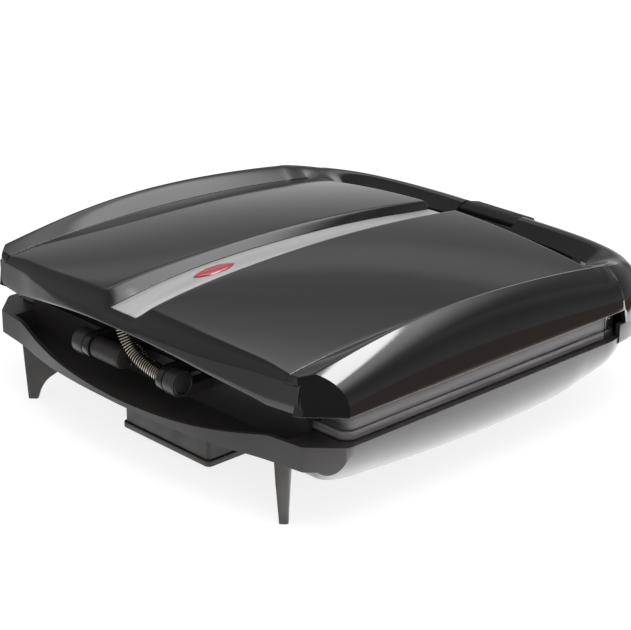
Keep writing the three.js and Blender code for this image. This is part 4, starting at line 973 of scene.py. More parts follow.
@dataclass
class LidShell:
    """The lid's panels, the recess for the strip and what hangs from them inside."""

    blend: float = 0.35
    front_soft: float = 1.6
    edge_soft: float = 0.3
    under_soft: float = 0.7
    ledge_drop: float = 3.06
    least_slope: float = 0.02
    slope_shares: tuple[float, ...] = (0, 0.1, 0.25, 0.4, 0.55, 0.7, 0.8, 0.88, 0.94)
    crest_steps: tuple[float, ...] = (0, 0.2, 0.45, 0.8, 1.3, 2.0, 3.2, 5.0)
    flat_start: float = 2.5
    front_shares: tuple[float, ...] = (0.988, 0.991, 0.994, 0.9965, 0.999, 1.0)
    skirt_thick: float = 2.5
    skirt_join: float = 2.0
    shelf_in: float = 1.0
    rear_wall_low: float = 49.6
    bracket_depth: float = 6.0
    post_radius: float = 3.0
    post_short: float = 1.2
    knuckle_inner: float = 25.0
    knuckle_outer: float = 29.1
    bores: Pair = (2.58, 5.28)

    def _columns(self, y: float) -> tuple[np.ndarray, np.ndarray]:
        """Lists one half of a section across the lid.

        Args:
            y: Where the section lies.

        Returns:
            The x of each column, and its kind: 0 recess floor, 1 surface, 2 seam drop,
            3 ledge, 4 skirt foot.
        """
        lip = FORM.strip_half + FORM.gap
        bevel = FORM.bevel_half(y)
        slope = lip + (bevel - lip) * np.array(self.slope_shares)
        crest = bevel + np.array(self.crest_steps)
        last = FORM.seam_half - self.edge_soft
        flat = np.linspace(crest[-1] + self.flat_start, last, 34)
        seam = last + self.edge_soft * np.array([0.5, 0.85, 1.0])
        surface = [*slope, *crest, *flat, *seam]
        xs = [0, lip * 0.5, lip, *surface, FORM.seam_half, FORM.shell_half, FORM.shell_half]
        kinds = [0, 0, 0] + [1] * len(surface) + [2, 3, 4]
        return np.array(xs, float), np.array(kinds)

    def _height(self, x: np.ndarray, kinds: np.ndarray, y: np.ndarray, inward: np.ndarray) -> np.ndarray:
        """Finds the skin's height.

        Args:
            x: Values across, one half only.
            kinds: What each column is.
            y: Values along.
            inward: How far each lies ahead of the rear edge.

        Returns:
            The heights.
        """
        lip = FORM.strip_half + FORM.gap
        front = FORM.fall(y + FORM.lid_front, self.front_soft)
        panel = FORM.panel_top(x, y) - FORM.fall(inward, FORM.rear_radius(x)) - front
        strip = FORM.level(FORM.strip, y) - FORM.fall(inward, FORM.strip_round)
        edge = FORM.level(FORM.panel, y) - FORM.fall(inward, FORM.rear_radius(lip))
        run = np.maximum(0.5, FORM.bevel_half(y) - lip)
        steep = np.maximum(self.least_slope, (edge - strip) / run)
        bevel = strip + steep * (x - lip)
        soft = self.blend * np.sqrt(1 + steep)
        merged = -soft * np.logaddexp(-bevel / soft, -panel / soft)
        over = np.clip((x - FORM.seam_half + self.edge_soft) / self.edge_soft, 0, 1)
        merged = merged - self.edge_soft * (1 - np.sqrt(np.maximum(0, 1 - over ** 2)))
        sunk = np.where(inward > FORM.strip_round + 0.1, FORM.strip_thick + FORM.gap, 0.0)
        floor = np.minimum(strip - sunk, panel)
        ledge = FORM.panel_top(FORM.seam_half, y) - front - self.ledge_drop
        foot = np.full_like(x, FORM.band)
        return np.select([kinds == 0, kinds == 1, kinds == 4], [floor, merged, foot], ledge)

    def _rows(self) -> list[np.ndarray]:
        """Returns the sections from the foot of the rounded rear edge to the front."""
        deep = FORM.rear_round[0]
        recess = FORM.strip_round / deep
        arc = [1 - math.cos(a) for a in np.linspace(0, math.pi / 2, 14)]
        apart = [share for share in arc if abs(share - recess) > 0.03]
        arc = sorted(apart + [recess + 0.005, recess + 0.02])
        runs = np.concatenate([np.linspace(0, 0.985, 68)[1:], self.front_shares])
        rows = []
        for share, run in [(share, 0.0) for share in arc] + [(1.0, float(run)) for run in runs]:
            reach = FORM.rear_reach - deep * share
            half, kinds = self._columns(reach + (-FORM.lid_front - reach) * run)
            start = FORM.rear_edge(half) - FORM.rear_radius(half) * share
            y = start + (-FORM.lid_front - start) * run
            z = self._height(half, kinds, y, FORM.rear_edge(half) - y)
            right = np.stack([-half, y, z], axis=1)[:0:-1]
            rows.append(np.vstack([right, np.stack([half, y, z], axis=1)]))
        return rows

    def _skin(self) -> Shape:
        """Returns the open skin of the panels, the walls round them and the recess."""
        rows = self._rows()
        first, last = rows[0], rows[-1]
        low = FORM.arch(first[:, 0])
        under = []
        for share in (0.0, 0.12, 0.3, 0.55, 0.8):
            row = first.copy()
            row[:, 1] -= self.under_soft * (1 - share) ** 8
            row[:, 2] = np.minimum(first[:, 2], low + (first[:, 2] - low) * share)
            under.append(row)
        ahead = []
        for share in (0.75, 0.5, 0.25, 0.0):
            row = last.copy()
            row[:, 2] = FORM.band + (last[:, 2] - FORM.band) * share
            ahead.append(row)
        grid = under + rows + ahead
        wide = len(grid[0])
        starts = [j * wide + k for j in range(len(grid) - 1) for k in range(wide - 1)]
        return Shape(np.vstack(grid), [(a, a + wide, a + wide + 1, a + 1) for a in starts])

    def _inside(self) -> list[Shape]:
        """Returns the walls, brackets and posts inside the shell."""
        skirt = (FORM.skirt_y - self.skirt_thick, FORM.skirt_y)
        hung = (FORM.plate_seam + FORM.gap, FORM.band - FORM.gap)
        inner = FORM.shell_half - FORM.wall + FORM.gap
        rear_top = FORM.panel_top(FORM.shell_half, FORM.inner_wall) - FORM.wall
        parts = [
            block((-FORM.skirt_half, FORM.skirt_half), skirt, hung),
            block((-inner, inner), skirt, (FORM.band - self.skirt_join, FORM.band + OVER)),
            block((-inner, inner), (-FORM.lid_front + self.shelf_in, FORM.skirt_y),
                  (FORM.band, FORM.band + FORM.wall)),
            block((-inner, inner), (FORM.inner_wall, FORM.inner_wall + FORM.wall),
                  (self.rear_wall_low, rear_top)),
        ]
        for side in Side:
            way = side.value
            x = (way * FORM.skirt_half, way * (FORM.skirt_half - self.bracket_depth))
            parts.append(block(x, (FORM.skirt_y - self.bracket_depth, FORM.skirt_y), hung))
            for y in FORM.screw_rows:
                top = FORM.panel_top(FORM.screw_x, y) - self.post_short
                parts.append(rod(Axis.Z, (FORM.band, top), (way * FORM.screw_x, y), self.post_radius))
        return parts

    def _knuckle(self, side: Side) -> Piece:
        """Returns one hinge arm of the lid with its bored round end."""
        way = side.value
        x = (way * self.knuckle_inner, way * self.knuckle_outer)
        bore = (x[0] - way * OVER, x[1] + way * OVER)
        web = block(x, (FORM.root_y, FORM.axis_y), (FORM.axis_z, FORM.axis_z + FORM.knuckle_radius))
        arm = Piece(f"lid_hinge_arm_{side.name.lower()}", web)
        arm.add(rod(Axis.X, x, FORM.axis, FORM.knuckle_radius, FORM.knuckle_soft))
        return arm.cut(rod(Axis.X, bore, FORM.axis, side.of(self.bores)))

    def build(self) -> None:
        """Makes the shell, its inner walls and its hinge arms."""
        shell = Piece("lid_panels", self._skin(), closed=False).thicken(FORM.wall)
        shell.dress(GLOSS, Body.LID, "lid_shell", smooth=38.0)
        inside = Piece("lid_inner_walls", together(self._inside()))
        inside.soften(0.3).dress(GLOSS, Body.LID)
        for side in Side:
            self._knuckle(side).soften(0.35, 50.0).dress(GLOSS, Body.LID)


@dataclass(frozen=True)
class BowCut:
    """One section of the bow: where it stands and its sizes.

    The stand is the outer line's point and outward direction, the reach is how far the
    inner edge lies from that line, and round is 0 for a sharp ridge and 1 for a round one.
    """

    stand: Stand
    crest: float
    inner: float
    reach: float
    wall_in: float
    bottom: float
    round: float = 0.0


@dataclass
class Bow:
    """The band along both sides of the lid and the grip round its front.

    A section runs from the outer line over the ridge to the inner edge. The curves read
    the turn round a front corner: the ridge's rise, the web's width and the inner edge's
    height. The holes for the pin and the spring have half a length or a foot, and a radius.
    """

    crest_in: float = 12.2
    side_reach: float = 22.9
    wall_in: float = 16.0
    grip_wall: float = 20.2
    flange: float = 3.0
    flange_step: float = 0.3
    edge_round: float = 0.4
    web_reach: float = 12.8
    web_lift: float = 1.2
    ease: float = 2.6
    knee_limit: float = 0.9
    inner_top: float = 62.5
    core_half: float = 26.0
    clip_half: float = 19.5
    corner_lean: float = 0.21
    lean_rise: float = 40.0
    ridge: Pair = (48.0, 90.0)
    rear_soft: float = 2.6
    rear_fade: float = 8.0
    web_drop: float = 0.7
    room_rear: float = -70.0
    room_levels: Pair = (40.0, 67.3)
    pin_hole: Pair = (24.3, 1.54)
    spring_hole: Pair = (53.75, 2.35)
    rise: Curve = Curve((
        (0, 1), (0.067, 0.84), (0.155, 0.69), (0.267, 0.555), (0.39, 0.46), (0.52, 0.385),
        (0.65, 0.305), (0.8, 0.225), (1, 0.15),
    ))
    web: Curve = Curve((
        (0, 0), (0.067, 0.25), (0.155, 0.7), (0.267, 1), (0.39, 0.5), (0.52, 0.08), (0.6, 0), (1, 0),
    ))
    inner_rise: Curve = Curve((
        (0, 1), (0.2, 1), (0.3, 0.9), (0.39, 0.62), (0.52, 0.22), (0.645, 0), (1, 0),
    ))

    def _eased(self, run: float) -> float:
        """Returns how far a slope has got after a run, which starts level."""
        return run - self.ease * (1 - math.exp(-run / self.ease))

    def _section(self, cut: BowCut, inset: float) -> np.ndarray:
        """Draws one section of the bow.

        Args:
            cut: Its place and sizes.
            inset: How far the section is drawn in, for the hollow.

        Returns:
            The ring of points.
        """
        last = math.radians(self.ridge[0] + (self.ridge[1] - self.ridge[0]) * cut.round)
        arc = np.linspace(0, last, 17)
        across = self.crest_in - inset
        us = list(inset + across * (1 - np.cos(arc)) / (1 - math.cos(last)))
        zs = list(cut.bottom + (cut.crest - inset - cut.bottom) * np.sin(arc) / math.sin(last))
        run = min(cut.reach, self.side_reach + self.flange_step) - self.crest_in
        slope = (cut.inner - cut.crest) / self._eased(run)
        knee = min(self.knee_limit, 0.12 * (cut.reach - self.side_reach))
        stop = cut.wall_in - inset if inset else cut.reach - self.edge_round
        for share in np.linspace(0, 1, 13)[1:]:
            d = (stop - self.crest_in) * share
            over = cut.crest - cut.inner + slope * self._eased(d)
            if 0.05 < knee and over < 30 * knee:
                over = knee * math.log(1 + math.exp(over / knee))
            us.append(self.crest_in + d)
            zs.append(cut.inner + over - inset)
        if inset:
            us += [stop, inset]
            zs += [cut.bottom - OVER] * 2
        else:
            low = cut.inner - self.flange
            us += [cut.reach, cut.reach, cut.wall_in, cut.wall_in]
            zs += [cut.inner - 0.02, low, low - self.flange_step, cut.bottom]
        u, z = np.array(us), np.array(zs)
        x, y, nx, ny = cut.stand
        ring = np.stack([x - nx * u, y - ny * u, z], axis=1)
        return ring if inset else self._rounded_rear(ring, cut.inner)

    def _rounded_rear(self, ring: np.ndarray, inner: float) -> np.ndarray:
        """Rounds a section's top where it comes near the body's rear edge.

        Args:
            ring: The section.
            inner: The height of its inner edge, below which it stays.

        Returns:
            The rounded section.
        """
        out = np.abs(ring[:, 0])
        near = np.clip((FORM.half_width - self.crest_in - out) / self.rear_fade, 0, 1)
        inward = FORM.rear_edge(np.minimum(out, FORM.sweep_half)) - ring[:, 1]
        fall = FORM.fall(inward, self.rear_soft * near)
        ring[:, 2] -= np.where(ring[:, 2] > inner - 1.0, fall, 0.0)
        return ring

    def _side_cut(self, side: Side, y: float) -> BowCut:
        """Returns the section's sizes at a place along a straight side."""
        edge_y = min(y, FORM.rear_edge(FORM.seam_half) - 2)
        return BowCut(
            stand=(side.value * FORM.half_width, y, float(side.value), 0.0),
            crest=FORM.level(FORM.crest, y),
            inner=FORM.panel_top(FORM.seam_half, edge_y),
            reach=self.side_reach,
            wall_in=self.wall_in,
            bottom=FORM.band,
        )

    def _front_cut(self, side: Side, turn: float) -> BowCut:
        """Returns the section's sizes at a turn round a front corner."""
        side_end = FORM.level(FORM.crest, -FORM.corner_start)
        lift = self.inner_rise.at(turn)
        stand = FORM.corner(side, turn)
        edge_y = max(stand[1] - stand[3] * self.side_reach, -FORM.lid_front)
        edge = FORM.panel_top(FORM.seam_half, edge_y)
        drop = self.web_drop * min(1.0, turn / 0.1)
        return BowCut(
            stand=stand,
            crest=FORM.handle_top + (side_end - FORM.handle_top) * self.rise.at(turn),
            inner=self.inner_top + (edge - drop - self.inner_top) * lift,
            reach=FORM.handle_depth + self.web_lift * lift + self.web_reach * self.web.at(turn),
            wall_in=self.wall_in + (self.grip_wall - self.wall_in) * min(1.0, turn / 0.39),
            bottom=FORM.handle_bottom if turn > 0.05 else FORM.band,
            round=min(1.0, turn / 0.3) ** 2,
        )

    def _rings(self, inset: float) -> list[np.ndarray]:
        """Returns the sections from one rear corner round the front to the other."""
        reach = FORM.rear_reach
        rear = np.linspace(reach + 4, reach - 16, 51)
        ahead = np.linspace(reach - 18, -FORM.corner_start + 2, 54)
        turns = [(1 - math.cos(math.pi * (step + 0.5) / 61.0)) / 2 for step in range(60)] + [1.0]
        halves = []
        for side in Side:
            cuts = [self._side_cut(side, float(y)) for y in (*rear, *ahead)]
            cuts += [self._front_cut(side, turn) for turn in turns]
            halves.append([self._section(cut, inset) for cut in cuts])
        left, right = halves
        return left + right[-2::-1]

    def _trim(self, inset: float) -> Shape:
        """Returns the body's plan as a solid whose cut rear corners lean forward above the band."""
        band, rise = FORM.band, self.lean_rise
        levels = ((0.0, 0.0), (band, 0.0), (band + rise, rise * self.corner_lean))
        return loft([at_level(body_plan(inset, 0.0, lean=lean), z) for z, lean in levels])

    def pocket(self) -> Outline:
        """Returns the room that the clip swings in, in y and z."""
        steps = [
            (19.8, 72.0), (19.8, 59.6), (11.0, 59.6), (11.0, 54.4), (0.9, 54.4), (0.9, 39.0),
            (-OVER, 39.0), (-OVER, 72.0),
        ]
        return [(run - FORM.front_reach, z) for run, z in steps]

    def _core(self, inset: float) -> Piece:
        """Returns the bow's own form, or that of its hollow where an inset is given."""
        core = Piece("hollow" if inset else "lid_bow_moulding", loft(self._rings(inset)))
        return core.keep(self._trim(inset))

    def build(self) -> None:
        """Makes the bow and dresses it."""
        bow = self._core(0.0)
        hollow = self._core(FORM.wall)
        middle = (-FORM.front_reach - OVER, -FORM.lid_front)
        hollow.cut(block((-self.core_half, self.core_half), middle, (0, 100)))
        bow.cut(hollow)
        room = FORM.seam_half + FORM.gap
        along = (-FORM.lid_front - FORM.gap, FORM.rear_reach + OVER)
        bow.cut(block((-room, room), along, (FORM.band - OVER, 100)))
        for side in Side:
            x = (side.value * 100, side.value * (FORM.shell_half + FORM.gap))
            bow.cut(block(x, (along[0], self.room_rear), self.room_levels))
        swing = self.clip_half + FORM.gap
        bow.cut(prism(self.pocket(), -swing, swing, Axis.X))
        reach, radius = self.pin_hole
        bow.cut(rod(Axis.X, (-reach, reach), FORM.latch_pivot, radius))
        low, radius = self.spring_hole
        bow.cut(rod(Axis.Z, (low, FORM.handle_top), (0, FORM.spring_y), radius))
        bow.dress(GLOSS, Body.LID, "lid_bow", smooth=30.0)


@dataclass
class Strip:
    """The silver strip down the middle of the lid, with its lamp and lens."""

    lens_middle: float = 62.0
    lens_long: float = 12.6
    lens_wide: float = 3.9
    lens_power: float = 2.7
    lens_layers: tuple[Pair, ...] = (
        (0.97, -4.0), (1.0, -3.6), (1, 0), (0.985, 0.2), (0.95, 0.38), (0.86, 0.6), (0.7, 0.76),
        (0.45, 0.87), (0.15, 0.9),
    )
    lamp_drop: float = 9.2
    lamp_half: float = 7.0
    soft: float = 0.45
    soft_in: float = 0.13
    crown: Pair = (0.10, 0.13)
    end_steps: tuple[Pair, ...] = ((0, 0.55), (0.1, 0.2), (0.35, 0.04))

    def oval(self, share: float, grow: float = 0.0) -> Outline:
        """Returns the pointed oval of the lens, scaled by a share."""
        made: Outline = []
        for side in (1, -1):
            for step in range(16):
                along = side * (1 - 2 * step / 16)
                wide = (self.lens_wide + grow) * share * (1 - abs(along) ** self.lens_power)
                made.append((side * wide, self.lens_middle + (self.lens_long + grow) * share * along))
        return made

    def _strip(self) -> Piece:
        """Returns the strip with its lens hole."""
        front = -FORM.lid_front
        end = FORM.rear_edge(0) - FORM.strip_round - FORM.gap
        places = [(end - run, drop) for run, drop in self.end_steps]
        places += [(float(y), 0.0) for y in (*np.linspace(end - 1, front + 1, 70), front + FORM.gap)]
        half, soft, corner = FORM.strip_half, self.soft, self.soft_in
        side, middle = self.crown
        rings = []
        for y, drop in places:
            top = FORM.level(FORM.strip, y) - drop
            left = [(half, top - soft), (half - corner, top - corner), (half - soft, top),
                    (half * 0.5, top + side)]
            low = top - FORM.strip_thick
            right = [(-x, z) for x, z in reversed(left)]
            section = [(-half, low), (half, low), *left, (0, top + middle), *right]
            rings.append(np.array([(x, y, z) for x, z in section]))
        return Piece("lid_silver_strip", loft(rings)).cut(prism(self.oval(1, FORM.gap), FORM.band, 100))

    def build(self) -> None:
        """Makes the strip, the lens and the lamp behind it."""
        self._strip().dress(SILVER, Body.LID, "lid_strip")
        rings = []
        for share, rise in self.lens_layers:
            ring = [(x, y, FORM.level(FORM.strip, y) + rise) for x, y in self.oval(share)]
            rings.append(np.array(ring))
        Piece("pilot_lens_cap", loft(rings)).dress(LENS, Body.LID, "pilot_lens", smooth=50.0)
        level = FORM.level(FORM.strip, self.lens_middle) - self.lamp_drop
        start, end = self.lens_middle - self.lamp_half, self.lens_middle + self.lamp_half
        bulb = [
            (0.3, start), (1.2, start + 0.3), (2.3, start + 1.2), (3.0, start + 3), (3.0, end - 1),
            (2.2, end - 0.2), (0.4, end),
        ]
        lamp = Piece("pilot_lamp_bulb", turned(bulb, Axis.Y, (0, level), 28))
        lamp.dress(LAMP, Body.LID, "pilot_lamp", smooth=50.0)
        refinish("lamp_holder", CERAMIC)


@dataclass
class Latch:
    """The clip that holds the two halves shut, on its pin, with its spring."""

    half: float = 19.5
    proud: float = 1.2
    thick: float = 2.4
    hook_deep: float = 5.6
    rear: float = 17.8
    pin_radius: float = 1.5
    pin_room: float = 0.08
    pin_reach: float = 24.0
    boss: float = 3.6
    turns: int = 9
    wire: float = 0.25
    spring_radius: float = 1.8
    spring_low: float = 54.05
    closed_share: float = 0.08

    def _profile(self, under: float) -> Outline:
        """Returns the clip's side view in y and z, from the top's rear end forward and round.

        Args:
            under: The height of the underside of its top.

        Returns:
            The outline.
        """
        pivot = FORM.latch_pivot
        front = -FORM.front_reach - self.proud
        inside = front + self.thick
        hook = FORM.handle_bottom - FORM.grip_drop - FORM.gap - self.thick
        foot = pivot[1] - self.boss
        corners = [
            ((self.rear - FORM.front_reach, FORM.handle_top - 0.3), 0.8),
            ((12.2 - FORM.front_reach, FORM.handle_top + 1.9), 8.0),
            ((front + 2.9, FORM.handle_top - 0.6), 2.2),
            ((front, pivot[1] + self.thick), 3.0),
            ((front, hook + 0.6), 0.5),
            ((front + 0.6, hook), 0.3),
            ((front + self.hook_deep, hook), 0.5),
            ((front + self.hook_deep, hook + self.thick - FORM.gap), 0.4),
            ((inside, hook + self.thick), 0.6),
            ((inside, foot), 1.5),
            ((pivot[0] + self.boss, foot), 2.4),
            ((pivot[0] + self.boss + FORM.gap, under - FORM.gap), 0.8),
            ((self.rear - FORM.front_reach, under), 0.5),
        ]
        return rounded([point for point, _ in corners], [radius for _, radius in corners])

    def _coil(self, high: float) -> Shape:
        """Returns the return spring, its end turns closed, up to a height."""
        low = self.spring_low + self.wire
        angle = np.linspace(0, math.tau * self.turns, self.turns * 20)
        open_share = 1 - 2 * self.closed_share
        rise = np.clip((angle / angle[-1] - self.closed_share) / open_share, 0, 1)
        x = self.spring_radius * np.cos(angle)
        y = FORM.spring_y + self.spring_radius * np.sin(angle)
        return tube(np.stack([x, y, low + (high - low) * rise], axis=1), self.wire, 6)

    def build(self) -> None:
        """Makes the clip, its pin and its spring."""
        pivot = FORM.latch_pivot
        under = FORM.handle_top - self.thick - FORM.gap
        clip = Piece("latch_clip_moulding", prism(self._profile(under), -self.half, self.half, Axis.X))
        bore = self.half + OVER
        clip.cut(rod(Axis.X, (-bore, bore), pivot, self.pin_radius + self.pin_room))
        clip.soften(0.5, 60.0).dress(CLIP, Body.LATCH, "latch_clip")
        pin = rod(Axis.X, (-self.pin_reach, self.pin_reach), pivot, self.pin_radius, 0.4)
        Piece("latch_pivot_pin", pin).dress(STEEL, Body.LID, "latch_pin")
        spring = Piece("latch_spring_coil", self._coil(under - 0.6 - self.wire))
        spring.dress(STEEL, Body.LID, "latch_spring", smooth=60.0)


@dataclass
class MouldPlates:
    """The two cast plates with their walnut moulds, domes, screws and heaters."""

    columns: int = 6
    rows: int = 4
    pitch: Pair = (37.5, 39.0)
    middle: float = 5.0
    half: Pair = (15.5, 17.0)
    depth: float = 11.5
    shell: float = 3.0
    boss_wall: float = 1.6
    deck: float = 3.0
    edge: float = 2.5
    edge_soft: float = 0.5
    wrinkle: float = 0.5
    around: int = 44
    down: int = 13
    lip: float = 0.6
    stud: float = 3.0
    lower_stud: Pair = (33.4, 41.0)
    upper_stud: Pair = (52.5, 59.2)
    bore: float = 1.8
    counterbore: Pair = (3.1, 2.1)
    heater_radius: float = 3.2
    heater_bend: float = 9.0
    tail_in: float = 6.0

    def places(self) -> Outline:
        """Returns the middle of each walnut mould."""
        xs = [(column - (self.columns - 1) / 2) * self.pitch[0] for column in range(self.columns)]
        ys = [self.middle + (row - (self.rows - 1) / 2) * self.pitch[1] for row in range(self.rows)]
        return [(x, y) for x in xs for y in ys]

    def nut(self, x: float, y: float, level: float, grow: float, up: float, wrinkled: bool = True) -> Shape:
        """Shapes the outside of half a walnut shell.

        Args:
            x: Its middle across.
            y: Its middle along.
            level: The height of its rim.
            grow: What is added to its sizes.
            up: How far its straight rim goes on past the level.
            wrinkled: Whether it has the shell's ridge and furrows.

        Returns:
            A closed solid that hangs from the level.
        """
        half_x, half_y, depth = self.half[0] + grow, self.half[1] + grow, self.depth + grow
        rings = []
        for step in range(self.down):
            fall = math.pi / 2 * (step / (self.down - 1)) ** 0.9
            fade = min(1.0, 3.0 * step / self.down)
            ring = []
            for k in range(self.around):
                angle = math.tau * k / self.around
                out = math.cos(fall)
                unit = Vector((math.cos(angle) * out, math.sin(angle) * out, -math.sin(fall)))
                scale = 1.0
                if wrinkled:
                    seed = Vector((unit.x * 2.4 + x, unit.y * 1.5 + y, unit.z * 2.4))
                    furrow = abs(noise.noise(seed)) + 0.5 * abs(noise.noise(seed * 2.3))
                    ridge = math.exp(-(unit.x / 0.09) ** 2)
                    scale -= fade * self.wrinkle / depth * (1.6 * furrow - 0.9 * ridge)
                flat = (x + half_x * unit.x * scale, y + half_y * unit.y * scale)
                ring.append((*flat, level + depth * unit.z * scale))
            rings.append(np.array(ring))
        lift = rings[0].copy()
        lift[:, 2] += up
        flare = self.lip / half_x if up > 2 else 0.0
        lift[:, :2] = (x, y) + (lift[:, :2] - (x, y)) * (1 + flare)
        return loft([lift, *rings])

    def _nuts(self, level: float, grow: float, up: float, wrinkled: bool = True) -> Shape:
        """Returns a walnut half at each place."""
        return together([self.nut(x, y, level, grow, up, wrinkled) for x, y in self.places()])

    def outline(self, inset: float) -> Outline:
        """Returns the plates' plan outline, drawn in, with its rounded corners."""
        half = FORM.plate_half - inset
        corner = max(1.0, FORM.plate_corner - inset * 0.5)
        along = (inset - FORM.plate_front, FORM.plate_rear - inset)
        return rounded_box((-half, half), along, 1.2, corner)

    def _slab(self, name: str, low: float, high: float, open_low: bool) -> Piece:
        """Returns a plate's deck and its thin outer wall."""
        soft = self.edge_soft
        part = 0.3 * soft
        levels = [
            (soft, low), (part, low + part), (0, low + soft), (0, high - soft), (part, high - part),
            (soft, high),
        ]
        plate = Piece(name, loft([at_level(self.outline(inset), z) for inset, z in levels]))
        hollow = (low - OVER, high - self.deck) if open_low else (low + self.deck, high + OVER)
        return plate.cut(prism(self.outline(self.edge), *hollow))

    def _screw_hole(self, x: float, y: float, face: float, way: int) -> Shape:
        """Returns a counterbored hole down or up from a plate's face."""
        wide, deep = self.counterbore
        steps = [(wide, -3.0), (wide, deep), (self.bore, deep + 0.0001), (self.bore, 12.0)]
        return turned([(radius, face + way * run) for radius, run in steps], Axis.Z, (x, y), 28)

    def _studs(self, low: float, high: float, radius: float, places: Outline) -> list[Shape]:
        """Returns a round bar at each place."""
        return [rod(Axis.Z, (low, high), place, radius) for place in places]

    def lower(self) -> None:
        """Makes the lower plate with its hollow moulds."""
        top = FORM.plate_seam - FORM.gap
        root = top - self.deck / 2
        plate = self._slab("lower_mould_plate", FORM.ledge_z + FORM.gap, top, open_low=True)
        plate.add(self._nuts(root, self.boss_wall, 0.1, wrinkled=False))
        foot, bored = self.lower_stud
        plate.add(*self._studs(foot, root, self.stud, self.tray_screws()))
        plate.cut(self._nuts(top, 0.0, 4.0))
        plate.cut(*[self._screw_hole(x, y, top, -1) for x, y in self.screws()])
        plate.cut(*self._studs(foot - 3.4, bored, self.bore, self.tray_screws()))
        plate.dress(LOWER_COAT_LIT, Body.BASE, "lower_plate", smooth=40.0)

    def upper(self) -> None:
        """Makes the upper plate with its domes."""
        low, high = FORM.plate_seam + FORM.gap, FORM.band - FORM.gap
        root = low + self.deck / 2
        plate = self._slab("upper_mould_plate", low, high, open_low=False)
        plate.add(self._nuts(low, -self.shell, 1.4))
        bored, end = self.upper_stud
        plate.add(*self._studs(root, end, self.stud, self.tray_screws()))
        plate.add(*self._studs(root, high, self.stud, self.screws()))
        plate.cut(self._nuts(low + 1.4, -self.shell - 3.4, 6.0, wrinkled=False))
        plate.cut(*[self._screw_hole(x, y, low, 1) for x, y in self.screws()])
        plate.cut(*self._studs(bored, end + 1.3, self.bore, self.tray_screws()))
        plate.dress(UPPER_COAT_SHADED, Body.LID, "upper_plate", smooth=40.0)

    def screws(self) -> Outline:
        """Returns where the four plate screws stand."""
        return [(side.value * FORM.screw_x, y) for side in Side for y in FORM.screw_rows]

    def tray_screws(self) -> Outline:
        """Returns where the two screws of each reflector stand."""
        return [(side.value * self.pitch[0], self.middle) for side in Side]

    def heater(self, name: str, level: float, body: Body, node: str) -> None:
        """Makes a bent tubular heater with its two cold ends.

        Args:
            name: The piece's name.
            level: The height of its middle line.
            body: The body that it rides on.
            node: The frame's node that it stands for.
        """
        step_x, step_y = self.pitch
        tail = FORM.plate_rear - self.tail_in
        near, far = self.middle - step_y, self.middle + step_y
        left = [(step_x, tail), (step_x, far), (2 * step_x, far), (2 * step_x, near)]
        bends = left + [(-x, y) for x, y in reversed(left)]
        path = at_level(rounded(bends, [0, *[self.heater_bend] * 6, 0], 10), level)
        Piece(name, tube(path, self.heater_radius, 18)).dress(SHEATH, body, node, smooth=50.0)

    def build(self) -> None:
        """Makes both plates, the heaters, the reflectors' finish, the thermostat and the fuse."""
        self.lower()
        self.upper()
        behind = FORM.plate_seam + FORM.gap + self.deck + FORM.gap
        self.heater("upper_heating_tube", behind + 3.25, Body.LID, "upper_heater")
        self.heater("lower_heating_tube", FORM.plate_seam - FORM.gap - 10.2, Body.BASE, "lower_heater")
        for name in ("upper_reflector", "lower_reflector"):
            refinish(name, SHEET)
        top = FORM.plate_seam - FORM.gap - self.deck - FORM.gap
        can = [
            (0.5, 0), (5.0, 0), (5.4, 0.4), (5.4, 1.2), (7.2, 1.4), (7.5, 1.8), (7.5, 6.4), (7.0, 7.0),
            (4.6, 7.2), (4.4, 9.6), (0.5, 10),
        ]
        can = turned([(radius, top - drop) for radius, drop in can], Axis.Z, (0, self.middle))
        Piece("thermostat_can", can).soften(0.15).dress(STEEL, Body.BASE, "thermostat")
        half = [(0.4, -6), (1.2, -5.9), (1.5, -5.2), (2.1, -5), (2.2, -4.6)]
        fuse = half + [(2.2, 4.6), (2.1, 5), (1.5, 5.2), (0.4, 6)]
        fuse = turned([(radius, self.middle + y) for radius, y in fuse], Axis.Y, (0, behind + 2.2), 24)
        Piece("thermal_fuse_body", fuse).dress(CERAMIC, Body.LID, "thermal_fuse", smooth=50.0)


